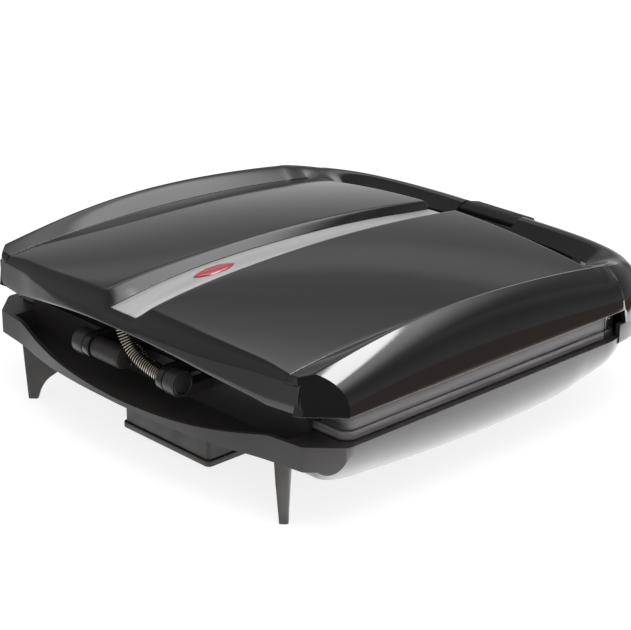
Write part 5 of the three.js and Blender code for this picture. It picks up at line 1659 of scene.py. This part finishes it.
@dataclass
class BaseShell:
    """The lower half: a bellied tub with the hinge trough behind it.

    A screw post has a drop below the plates' seam and a radius, its hole a depth and a
    radius, and the pillars under the plate stand in from its rear and its front.
    """

    corner_soft: float = 6.0
    band_start: float = 90.1
    band_half: float = 117.0
    plan_in: float = 0.25
    outer_shares: Pair = (-0.8, 0.852)
    inner_shares: Pair = (-0.744, 0.744)
    seat_room: float = 1.25
    ledge_in: float = 7.5
    skirt_thick: float = 2.5
    bracket_depth: float = 6.0
    post_inner: float = 29.7
    post_outer: float = 37.0
    post_top: float = 49.0
    bores: Pair = (2.54, 5.24)
    foot_sunk: float = 1.2
    screw_post: Pair = (3.6, 3.6)
    screw_hole: Pair = (12.0, 1.8)
    pillar_x: float = 88.0
    pillar_in: Pair = (24.0, 27.0)
    pillar_radius: float = 3.0
    pillar_drop: float = 20.0
    middle_post: Pair = (7.0, 22.1)
    middle_short: float = 5.7
    vent: tuple[Pair, Pair, Pair] = ((-23.0, -3.0), (91.0, 100.0), (0.0, 29.0))

    def _belly_ring(self, y: float, inset: float, top: float) -> np.ndarray:
        """Returns a section of the belly, drawn in by an inset."""
        low = FORM.belly_low(y) + inset
        half = FORM.half_width * FORM.nose.at(FORM.share(y)) - FORM.gap - inset
        rise = min(FORM.belly_round, top - low - 0.6) - FORM.gap
        arc = np.linspace(0, math.pi / 2, 15)
        right = [(half, top)]
        right += [(half - rise * (1 - math.cos(a)), low + rise * (1 - math.sin(a))) for a in arc]
        ring = right + [(-x, z) for x, z in reversed(right)]
        return np.array([(x, y, z) for x, z in ring])

    def _belly(self, inset: float, top: float, shares: Pair) -> Shape:
        """Returns the belly between two places, as shares of the body's reach to the rear."""
        first, last = (share * FORM.rear_reach for share in shares)
        return loft([self._belly_ring(float(y), inset, top) for y in np.linspace(first, last, 64)])

    def hull(self) -> Piece:
        """Returns the closed outer form of the base."""
        hull = Piece("base_tub", self._belly(0.0, FORM.rim, self.outer_shares))
        along = (self.band_start, FORM.rear_reach + OVER)
        hull.add(block((-self.band_half, self.band_half), along, (FORM.band_bottom, FORM.rim)))
        return hull.keep(prism(body_plan(self.plan_in, self.corner_soft), 0, 60))

    def build(self) -> None:
        """Makes the tub and dresses it."""
        ledge, inner, over = FORM.ledge_z, FORM.inner_wall + FORM.wall, FORM.rim + OVER
        low = ledge - FORM.wall
        tub = self.hull()
        tub.cut(self._belly(FORM.wall, low, self.inner_shares))
        plates = MouldPlates()
        tub.cut(prism(plates.outline(self.ledge_in), FORM.trough_floor, over))
        tub.cut(prism(plates.outline(-self.seat_room), ledge, over))
        half = FORM.trough_half
        rear = [(float(x), FORM.rear_edge(x) - FORM.wall) for x in np.linspace(half, -half, 49)]
        tub.cut(prism([(-half, inner), (half, inner), *rear], FORM.trough_floor, over))
        xs = np.linspace(-FORM.arch_half, FORM.arch_half, 49)
        smile = [(float(x), FORM.rim - FORM.smile_drop * (1 - (x / FORM.arch_half) ** 2)) for x in xs]
        smile += [(FORM.arch_half, over), (-FORM.arch_half, over)]
        tub.cut(prism(smile, inner, FORM.rear_reach + OVER, Axis.Y))
        tub.add(block((-half, half), (FORM.inner_wall, inner), (low, self.post_top)))
        skirt = (FORM.skirt_y - self.skirt_thick, FORM.skirt_y)
        tub.add(block((-FORM.skirt_half, FORM.skirt_half), skirt, (low, FORM.plate_seam - FORM.gap)))
        for side in Side:
            self._fittings(tub, side)
        along = (FORM.root_y, FORM.axis_y - self.middle_short)
        tub.add(block(self.middle_post, along, (FORM.axis_z - FORM.knuckle_radius, self.post_top)))
        tub.cut(block(*self.vent))
        tub.dress(SATIN, Body.BASE, "base_shell", smooth=30.0)

    def _fittings(self, tub: Piece, side: Side) -> None:
        """Adds one side's bracket, hinge post and screw posts.

        Args:
            tub: The base that they join.
            side: Which side they stand on.
        """
        way = side.value
        x = (way * FORM.skirt_half, way * (FORM.skirt_half - self.bracket_depth))
        along = (FORM.skirt_y - self.bracket_depth, FORM.skirt_y)
        tub.add(block(x, along, (FORM.ledge_z - FORM.wall, FORM.plate_seam - FORM.gap)))
        x = (way * self.post_inner, way * self.post_outer)
        foot = FORM.axis_z - FORM.knuckle_radius
        tub.add(block(x, (FORM.root_y, FORM.axis_y), (foot, self.post_top)))
        tub.add(rod(Axis.X, x, FORM.axis, FORM.knuckle_radius, FORM.knuckle_soft))
        x = (way * (self.post_inner - 1), way * (self.post_outer + OVER))
        tub.cut(rod(Axis.X, x, FORM.axis, side.of(self.bores)))
        drop, radius = self.screw_post
        deep, hole = self.screw_hole
        for y in FORM.screw_rows:
            top = FORM.plate_seam - drop
            place = (way * FORM.screw_x, y)
            tub.add(rod(Axis.Z, (FORM.belly_low(y) + self.foot_sunk, top), place, radius))
            tub.cut(rod(Axis.Z, (top - deep, top + OVER), place, hole))
        rear, front = self.pillar_in
        for y in (FORM.plate_rear - rear, front - FORM.plate_front):
            ends = (FORM.belly_low(y) + self.foot_sunk, FORM.plate_seam - self.pillar_drop)
            tub.add(rod(Axis.Z, ends, (way * self.pillar_x, y), self.pillar_radius))


@dataclass
class BaseHandle:
    """The grip under the bow, fixed to the base."""

    front_in: float = 0.9
    front_soft: float = 2.2
    rear_slant: float = 3.0
    rear_soft: float = 1.5
    top_soft: float = 0.5
    core_half: float = 26.0
    tub_room: float = 6.6
    start_share: float = 0.034

    def _ring(self, side: Side, turn: float, inset: float) -> np.ndarray:
        """Returns a section of the grip at a turn of the corner."""
        top = FORM.handle_bottom - FORM.gap
        low = FORM.handle_bottom - FORM.grip_drop + inset
        front, inside = self.front_in + inset, FORM.handle_depth - self.front_in - inset
        open_top = top + OVER if inset else top
        slant = self.rear_slant
        section = [(front, open_top), (front, low), (inside - slant, low), (inside, low + slant),
                   (inside, open_top)]
        if not inset:
            radii = [self.top_soft, self.front_soft, self.rear_soft, self.rear_soft, self.top_soft]
            section = rounded(section, radii, 5)
        x, y, nx, ny = FORM.corner(side, turn)
        return np.array([(x - nx * u, y - ny * u, z) for u, z in section])

    def _rings(self, inset: float) -> list[np.ndarray]:
        """Returns the sections from one corner to the other."""
        start = self.start_share
        turns = [start + (1 - start) * (1 - math.cos(math.pi * k / 60)) / 2 for k in range(61)]
        left, right = ([self._ring(side, turn, inset) for turn in turns] for side in Side)
        return left + right[-2::-1]

    def build(self, hull: Piece) -> None:
        """Makes the grip and dresses it.

        Args:
            hull: The closed form of the base, which it is cut to.
        """
        grip = Piece("base_grip", loft(self._rings(0.0)))
        hollow = Piece("hollow", loft(self._rings(FORM.wall)[1:-1]))
        core = (-self.core_half, self.core_half)
        hollow.cut(block(core, (-FORM.front_reach, -FORM.lid_front), (0, 100)))
        grip.cut(hollow, hull)
        along = (-FORM.plate_front - self.tub_room, 0)
        grip.cut(block((-FORM.half_width, FORM.half_width), along, (0, 100)))
        grip.dress(SATIN, Body.BASE, "base_handle", smooth=30.0)


@dataclass
class Hinge:
    """Pins, bushes and the wound conduit between base and lid."""

    conduit_radius: float = 3.6
    wire: float = 0.34
    pitch: float = 1.4
    cable: float = 2.4
    pin: Pair = (7.0, 37.0)
    pin_radius: float = 2.5
    barrel: Pair = (4.5, 24.6)
    barrel_radius: float = 5.4
    barrel_wall: float = 2.2
    pin_room: float = 0.04
    bush: Pair = (-37.6, -24.7)
    bush_radii: Pair = (5.2, 4.4)
    grommet: Pair = (-37.3, -30.5)
    grommet_radius: float = 4.3
    blend: Pair = (1.0, 19.0)
    bends: tuple[Pair, ...] = (
        (6.3, 20.5), (5.4, 17), (3.4, 13), (0.4, 8.8), (-3.8, 5.3), (-9.2, 2.9), (-15.4, 1.3),
        (-20.7, 0.4), (-25, 0), (-30, 0),
    )

    def conduit(self) -> None:
        """Makes the close-wound conduit and the wires in it, which ride on no body."""
        route = [(x, FORM.axis_y, FORM.axis_z + rise) for x, rise in self.bends]
        middle = smooth_path(route, 400)
        length = float(np.sum(np.linalg.norm(np.diff(middle, axis=0), axis=1)))
        turns = length / self.pitch
        steps = int(turns * 18)
        line = smooth_path([*middle[::10], middle[-1]], steps)
        ahead = np.gradient(line, axis=0)
        ahead /= np.linalg.norm(ahead, axis=1)[:, None]
        across = np.array([0.0, 1.0, 0.0])
        normal = np.cross(ahead, across)
        angle = np.linspace(0, math.tau * turns, steps)[:, None]
        coil = line + self.conduit_radius * (np.cos(angle) * normal + np.sin(angle) * across)
        spring = Piece("conduit_coil", tube(coil, self.wire, 6))
        spring.dress(WOUND, None, "conduit_spring", smooth=70.0)
        # The wires are real, and their black also stands in as painted shade inside the coil, between its
        # turns.
        wires = Piece("conduit_wires", tube(line[::6], self.cable, 12))
        wires.dress(RUBBER, None, smooth=60.0)
        for piece in (spring, wires):
            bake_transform(piece.thing)

    def build(self) -> None:
        """Makes the hinge's pieces."""
        axis = FORM.axis
        pin = Piece("hinge_left_pin", rod(Axis.X, self.pin, axis, self.pin_radius, 0.4))
        pin.dress(STEEL, Body.BASE, "hinge_pin")
        barrel = Piece("hinge_barrel", rod(Axis.X, self.barrel, axis, self.barrel_radius, 1.2, 56))
        bore = (self.barrel[0] + self.barrel_wall, self.barrel[1] + OVER)
        barrel.cut(rod(Axis.X, bore, axis, self.pin_radius + self.pin_room))
        barrel.dress(MATT, Body.BASE, "hinge_tube")
        bush = Piece("hinge_right_bush", ring_of(Axis.X, self.bush, axis, *self.bush_radii, 0.25, 48))
        bush.dress(MATT, Body.BASE, "hinge_bush")
        grommet = rod(Axis.X, self.grommet, axis, self.grommet_radius, 0.8)
        Piece("hinge_bush_grommet", grommet).dress(RUBBER, Body.BASE)
        self.conduit()


@dataclass
class Legs:
    """The two splayed rear legs and the two front feet with their pads."""

    foot: Pair = (94.6, 104.8)
    lean: float = 0.04
    wide: float = 40.0
    thick: float = 7.2
    soft: float = 1.1
    front: Pair = (66.0, -78.0)
    width_share: Curve = Curve((
        (0, 0.125), (0.13, 0.163), (0.24, 0.21), (0.34, 0.27), (0.45, 0.38), (0.65, 0.6), (1, 1),
    ))
    thick_share: Curve = Curve((
        (0, 0.6), (0.13, 0.64), (0.24, 0.7), (0.34, 0.75), (0.45, 0.8), (0.65, 0.9), (1, 1),
    ))
    stub: tuple[Pair, ...] = ((5.8, 2.3), (6.4, 2.5), (6.6, 3.2), (6.9, 12.0), (7.4, 20.0), (8.5, 31.4))
    pad: tuple[Pair, ...] = (
        (0.8, 0.35), (4.6, 0.3), (5.3, 0.0), (5.8, 0.1), (6.2, 0.5), (6.2, 1.5), (5.9, 2.0), (0.8, 2.0),
    )

    def _leg(self, side: Side) -> Shape:
        """Returns one splayed leg, widening into a gusset under the base."""
        rings = []
        for share in np.linspace(0, 1, 26):
            z = FORM.band_bottom * float(share)
            out_x = self.foot[0] + z * self.lean * 0.45
            out_y = self.foot[1] + z * self.lean
            wide = self.wide * self.width_share.at(share)
            half = self.thick * self.thick_share.at(share) / 2
            soft = min(self.soft, wide * 0.3)
            section = rounded([(0, -half), (0, half), (wide, half), (wide, -half)], [soft] * 4, 4)
            cos = math.sqrt(0.5)
            rings.append(np.array([
                (side.value * (out_x - cos * run - cos * cross), out_y - cos * run + cos * cross, z)
                for run, cross in section
            ]))
        return loft(rings)

    def build(self, hull: Piece) -> None:
        """Makes the legs and feet.

        Args:
            hull: The closed form of the base, which they are cut to. It is used up.
        """
        hull.sink(FORM.gap)
        for side in Side:
            name = side.name.lower()
            centre = (side.value * self.front[0], self.front[1])
            leg = Piece(f"rear_splayed_leg_{name}", self._leg(side)).cut(hull.copy())
            leg.dress(MATT, Body.BASE, f"rear_leg_{name}", smooth=40.0)
            stub = Piece(f"front_stub_foot_{name}", turned(self.stub, Axis.Z, centre))
            stub.cut(hull.copy()).dress(MATT, Body.BASE, f"front_foot_{name}", smooth=40.0)
            pad = Piece(f"foot_pad_disc_{name}", turned(self.pad, Axis.Z, centre))
            pad.dress(RUBBER, Body.BASE, f"foot_pad_{name}", smooth=50.0)
        hull.discard()


@dataclass
class TerminalBox:
    """The box under the hinge where the mains lead ends, with its cover and gland."""

    middle: float = -13.0
    half: float = 30.5
    rear: float = 104.0
    deep: float = 42.0
    low: float = 12.7
    wall: float = 2.5
    cover_lip: float = 1.0
    cover_thick: float = 3.0
    gland: Pair = (93.53, 17.4)
    gland_radii: tuple[float, float, float] = (3.9, 4.5, 3.2)
    gland_in: float = 5.0
    gland_out: float = 6.0
    gland_hole: float = 4.2
    block_x: Pair = (-28.0, 2.0)
    block_y: Pair = (91.0, 100.0)
    block_high: float = 7.8
    poles: tuple[float, ...] = (-23.0, -13.0, -3.0)

    def build(self, hull: Piece) -> None:
        """Makes the box and what is in it.

        Args:
            hull: The closed form of the base, which the box is cut to. It is used up.
        """
        wall, lip = self.wall, self.cover_lip
        left, right = self.middle - self.half, self.middle + self.half
        front, rear = self.rear - self.deep, self.rear
        outer = rounded_box((left, right), (front, rear), 1.5, 2.2)
        hull.sink(FORM.gap)
        box = Piece("mains_box", prism(outer, self.low, FORM.band_bottom)).cut(hull)
        box.cut(block((left + wall, right - wall), (front + wall, rear - wall), (0, 40)))
        box.cut(rod(Axis.X, (right - wall - FORM.gap, right + OVER), self.gland, self.gland_hole))
        box.dress(MATT, Body.BASE, "terminal_box")
        rim = rounded_box((left - lip, right + lip), (front - lip, rear + lip), 1.8, 2.6)
        top = self.low - FORM.gap
        cover = Piece("mains_box_cover", prism(rim, top - self.cover_thick, top))
        cover.soften(0.5).dress(MATT, Body.BASE, "terminal_cover")
        neck, flange, bore = self.gland_radii
        sleeve = (right - self.gland_in, right + 2 * FORM.gap)
        gland = Piece("cord_gland_sleeve", rod(Axis.X, sleeve, self.gland, neck))
        outer = (right + FORM.gap, right + self.gland_out)
        gland.add(rod(Axis.X, outer, self.gland, flange, 0.9))
        gland.cut(rod(Axis.X, (sleeve[0] - OVER, outer[1] + OVER), self.gland, bore))
        gland.dress(RUBBER, Body.BASE, "cord_gland")
        high = (self.low, self.low + self.block_high)
        strip = Piece("terminal_strip", block(self.block_x, self.block_y, high))
        middle = sum(self.block_y) / 2
        for x in self.poles:
            strip.cut(rod(Axis.Z, (self.low + 3, self.low + 9), (x, middle), 2.2, 0, 24))
        strip.soften(0.5, 50.0).dress(CERAMIC, Body.BASE, "terminal_block")


@dataclass
class Fasteners:
    """Cross-recess screws in the plates and behind them."""

    head: float = 2.8
    head_high: float = 1.8
    shank: float = 1.5
    recess: Pair = (1.6, 0.28)
    sunk: float = 0.45
    lengths: Pair = (10.8, 14.4)

    def screw(self, name: str, place: Place, way: int, length: float, body: Body) -> None:
        """Makes one screw.

        Args:
            name: The frame's node that it stands for.
            place: The middle of its head's outer face.
            way: The direction from the head to the tip, along Z.
            length: Its length.
            body: The body that it holds.
        """
        x, y, z = place
        profile = [
            (0.3, 0), (self.head - 0.5, 0), (self.head, 0.4), (self.head, 1.1), (1.6, self.head_high),
            (self.shank, 2.2), (self.shank, length - 1.2), (0.4, length),
        ]
        made = Piece(f"{name}_turned", turned([(r, z + way * h) for r, h in profile], Axis.Z, (x, y), 28))
        for wide, deep in (self.recess, self.recess[::-1]):
            made.cut(block((x - wide, x + wide), (y - deep, y + deep), (z - way * 1, z + way * 0.9)))
        made.dress(STEEL, body, name, smooth=35.0)

    def build(self) -> None:
        """Makes all the screws."""
        halves = (("lower", Body.BASE, -1, self.lengths[0]), ("upper", Body.LID, 1, self.lengths[1]))
        for side in Side:
            name = side.name.lower()
            for end, y in zip(("rear", "front"), FORM.screw_rows):
                for plate, body, way, length in halves:
                    place = (side.value * FORM.screw_x, y, FORM.plate_seam + way * self.sunk)
                    self.screw(f"{plate}_screw_{end}_{name}", place, way, length, body)
            for plate, body, way, _ in halves:
                node = f"{plate}_tray_screw_{name}"
                low, high = (corner[2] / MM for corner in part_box(node))
                place = (side.value * FORM.screw_x / 2, 5.0, low if way < 0 else high)
                self.screw(node, place, -way, high - low, body)


@dataclass(frozen=True)
class Softbox:
    """A lamp window in front of the object, in slopes across and up as its gloss sees it."""

    across: Pair
    up: Pair
    soft: float
    level: float


@dataclass
class Studio:
    """Camera, floor, surroundings and lamps."""

    target: Place = (-0.00327, 0.01272, 0.04386)
    azimuth: float = 226.82
    elevation: float = 21.44
    distance: float = 0.98542
    lens: float = 114.1
    sensor: float = 36.0
    sky: tuple[Pair, ...] = (
        (0.0, 0.65), (0.06, 0.6), (0.17, 0.45), (0.26, 0.34), (0.32, 0.32), (0.38, 0.5), (0.43, 0.54),
        (0.46, 0.34), (0.53, 0.34), (0.58, 0.48), (0.63, 0.62), (0.69, 1.0), (0.76, 1.55), (0.85, 1.7),
        (1.0, 1.0),
    )
    sky_scale: float = 2.0
    ahead: Pair = (0.2, 0.42)
    behind: tuple[Pair, ...] = ((0.25, 0.38), (0.5, 0.2), (0.6, 0.17), (0.71, 0.0))
    softboxes: tuple[Softbox, ...] = (
        Softbox((-1.35, -0.6), (1.38, 2.45), 0.12, 14.0), Softbox((-1.5, 0.1), (1.15, 2.6), 0.5, 2.6),
    )
    dusk: tuple[Colour, float, float, float] = ((-0.72, -0.66, 0.12), 20.0, 45.0, 0.42)
    ambient: float = 0.6
    floor_glow: float = 0.8
    floor_colour: Colour = (0.34, 0.34, 0.34)
    floor_reach: float = 3000.0
    # Painted light on the floor that only gloss sees: a pool of light beside the object, painted shadow
    # under it, dimmer and warm-tinted far off.
    painted_pool_side: Place = (0.085, 0.118, 0.07)
    painted_shadow_under: float = 0.06
    painted_pool_rear: Place = (0.05, 0.062, 0.09)
    painted_pool_far: Place = (0.36, 0.155, 0.5)
    painted_pool_level: float = 4.0
    painted_reflection_tint: Colour = (1.0, 0.72, 0.6)

    @staticmethod
    def _aimed(name: str, data: bpy.types.ID, place: Vector, aim: Vector) -> bpy.types.Object:
        """Stands a camera or a lamp at a place, where it looks along an aim."""
        made = bpy.data.objects.new(name, data)
        made.location = place
        made.rotation_euler = aim.to_track_quat("-Z", "Y").to_euler()
        bpy.context.scene.collection.objects.link(made)
        return made

    def camera(self) -> None:
        """Values the camera where the photograph was taken from."""
        azimuth, elevation = math.radians(self.azimuth), math.radians(self.elevation)
        out = math.cos(elevation)
        away = Vector((math.sin(azimuth) * out, -math.cos(azimuth) * out, math.sin(elevation)))
        data = bpy.data.cameras.new("camera")
        data.lens = self.lens
        data.sensor_width = self.sensor
        data.clip_start = 0.01
        eye = Vector(self.target) + away * self.distance
        bpy.context.scene.camera = self._aimed("camera", data, eye, -away)

    def _window(self, recipe: Recipe, way: Node, box: Softbox) -> object:
        """Returns a softbox's level in the direction of a ray."""
        ahead = recipe.work("MAXIMUM", recipe.times(way.outputs["Y"], -1.0), 0.001)
        total: object = box.level
        for axis, (low, high) in (("X", box.across), ("Z", box.up)):
            slope = recipe.work("DIVIDE", way.outputs[axis], ahead)
            rise = recipe.spread(slope, (low - box.soft, low), (0, 1), smooth=True)
            fall = recipe.spread(slope, (high, high + box.soft), (1, 0), smooth=True)
            total = recipe.times(total, rise, fall)
        return total

    def _studio_light(self, recipe: Recipe) -> object:
        """Returns the level that gloss mirrors in each direction."""
        ray = recipe.node("ShaderNodeTexCoord").outputs["Generated"]
        way = recipe.node("ShaderNodeSeparateXYZ", Vector=ray)
        stops = [(place, (level / self.sky_scale,) * 3) for place, level in self.sky]
        sky = recipe.times(recipe.shade(way.outputs["Z"], *stops), self.sky_scale)
        ahead = recipe.times(way.outputs["Y"], -1.0)
        sky = recipe.times(sky, recipe.spread(ahead, self.ahead, (0, 1), smooth=True))
        half = recipe.times(recipe.work("ADD", ahead, 1.0), 0.5)
        rear = recipe.shade(half, *[(place, (level,) * 3) for place, level in self.behind])
        toward, inner, outer, depth = self.dusk
        dot = recipe.node("ShaderNodeVectorMath", ray, Vector(toward).normalized())
        dot.operation = "DOT_PRODUCT"
        span = (math.cos(math.radians(outer)), math.cos(math.radians(inner)))
        dusk = recipe.spread(dot.outputs["Value"], span, (1, 1 - depth), smooth=True)
        total = recipe.times(recipe.work("ADD", sky, rear), dusk)
        return recipe.work("ADD", total, *[self._window(recipe, way, box) for box in self.softboxes])

    def surroundings(self) -> None:
        """Makes the world: white to the camera, a soft studio in reflections, plain elsewhere."""
        world = bpy.data.worlds.new("studio")
        world.use_nodes = True
        bpy.context.scene.world = world
        recipe = Recipe(world.node_tree)
        white = (1.0, 1.0, 1.0)
        gloss, plain, seen = (
            recipe.node("ShaderNodeBackground", Color=white, Strength=level)
            for level in (self._studio_light(recipe), self.ambient, 1.0)
        )
        path = recipe.node("ShaderNodeLightPath")
        shown = recipe.mixed(path.outputs["Is Glossy Ray"], plain, gloss)
        shown = recipe.mixed(path.outputs["Is Camera Ray"], shown, seen)
        recipe.node("ShaderNodeOutputWorld", Surface=shown.outputs[0])

    def _painted_floor_light(self, coat: Coat) -> Node:
        """Returns the painted light that the object's gloss sees on the floor: a pool of light beside the
        object with painted shadow under it, dimmer and warm-tinted far off.
        """
        place = coat.node("ShaderNodeNewGeometry").outputs["Position"]
        parts = coat.node("ShaderNodeSeparateXYZ", Vector=place)
        side, rear = -FORM.half_width * MM, (FORM.rear_reach + SHIFT_Y) * MM

        def step(axis: str, span: Pair, levels: Pair) -> object:
            """Returns a smooth step along one axis."""
            return coat.spread(parts.outputs[axis], span, levels, smooth=True)

        near, far, low = self.painted_pool_side
        # Painted pool of light: bright beside the object's side, falling off further out and behind it.
        fade = step("X", (side - far, side - near), (low, 1))
        back = step("Y", (rear, rear + self.painted_pool_rear[0]), (1, 0))
        far_rear = (rear + self.painted_pool_rear[1], rear + self.painted_pool_rear[2])
        far_off = coat.times(
            step("Y", far_rear, self.painted_pool_far[:2]),
            step("X", (-side + 0.01, -side + 0.06), (1, self.painted_pool_far[2])),
        )
        # Painted shadow: the floor's gloss light is cut off under the object.
        under = step("X", (side, side + self.painted_shadow_under), (1, 0))
        open_side = coat.work("MAXIMUM", coat.times(back, under), far_off)
        level = coat.times(fade, open_side, self.painted_pool_level)
        # Painted reflection colour: where the pool dims far off, its light is tinted warm brown.
        tint = coat.shade(fade, (0.1, self.painted_reflection_tint), (0.9, (1.0, 1.0, 1.0)))
        return coat.node("ShaderNodeEmission", Color=tint, Strength=level)

    def floor(self) -> None:
        """Makes the pale floor, which keeps the object's shadow and in the object's gloss shows a painted
        pool of light that darkens far off.
        """
        edge = self.floor_reach
        made = Piece("floor", block((-edge, edge), (-edge, edge), (-4.0, -0.02)))
        coat = Coat("pale floor")
        coat.fill(coat.shader, Base_Color=self.floor_colour, Roughness=0.9, Specular_IOR_Level=0.0)
        glow = coat.node("ShaderNodeEmission", Color=(1.0, 1.0, 1.0), Strength=self.floor_glow)
        lifted = coat.node("ShaderNodeAddShader", coat.shader.outputs[0], glow.outputs[0])
        path = coat.node("ShaderNodeLightPath")
        shown = coat.mixed(path.outputs["Is Camera Ray"], coat.shader, lifted)
        shown = coat.mixed(path.outputs["Is Glossy Ray"], shown, self._painted_floor_light(coat))
        coat.fill(coat.output, Surface=shown.outputs[0])
        made.thing.data.materials.append(coat.made)

    def lamp(self, name: str, place: Place, size: float, power: float) -> None:
        """Adds a square soft lamp that looks at the object and isn't seen in its gloss."""
        data = bpy.data.lights.new(name, "AREA")
        data.size = size
        data.energy = power
        data.specular_factor = 0.0
        aim = Vector(self.target) - Vector(place)
        self._aimed(name, data, Vector(place), aim).visible_glossy = False

    def build(self) -> None:
        """Sets the studio up."""
        self.camera()
        self.surroundings()
        self.floor()
        self.lamp("key lamp", (-0.5, 0.2, 1.3), 0.9, 7.0)
        self.lamp("fill lamp", (-1.1, 0.9, 0.5), 0.8, 4.0)
        bpy.context.scene.view_settings.view_transform = "Standard"


def main() -> None:
    """Builds every sub-assembly of the cookie maker in order."""
    logging.basicConfig(level=logging.INFO, format="%(message)s", stream=sys.stdout)
    Studio().build()
    LidShell().build()
    Bow().build()
    Strip().build()
    Latch().build()
    MouldPlates().build()
    base = BaseShell()
    base.build()
    BaseHandle().build(base.hull())
    Hinge().build()
    Legs().build(base.hull())
    TerminalBox().build(base.hull())
    Fasteners().build()


if __name__ == "__main__":
    main()
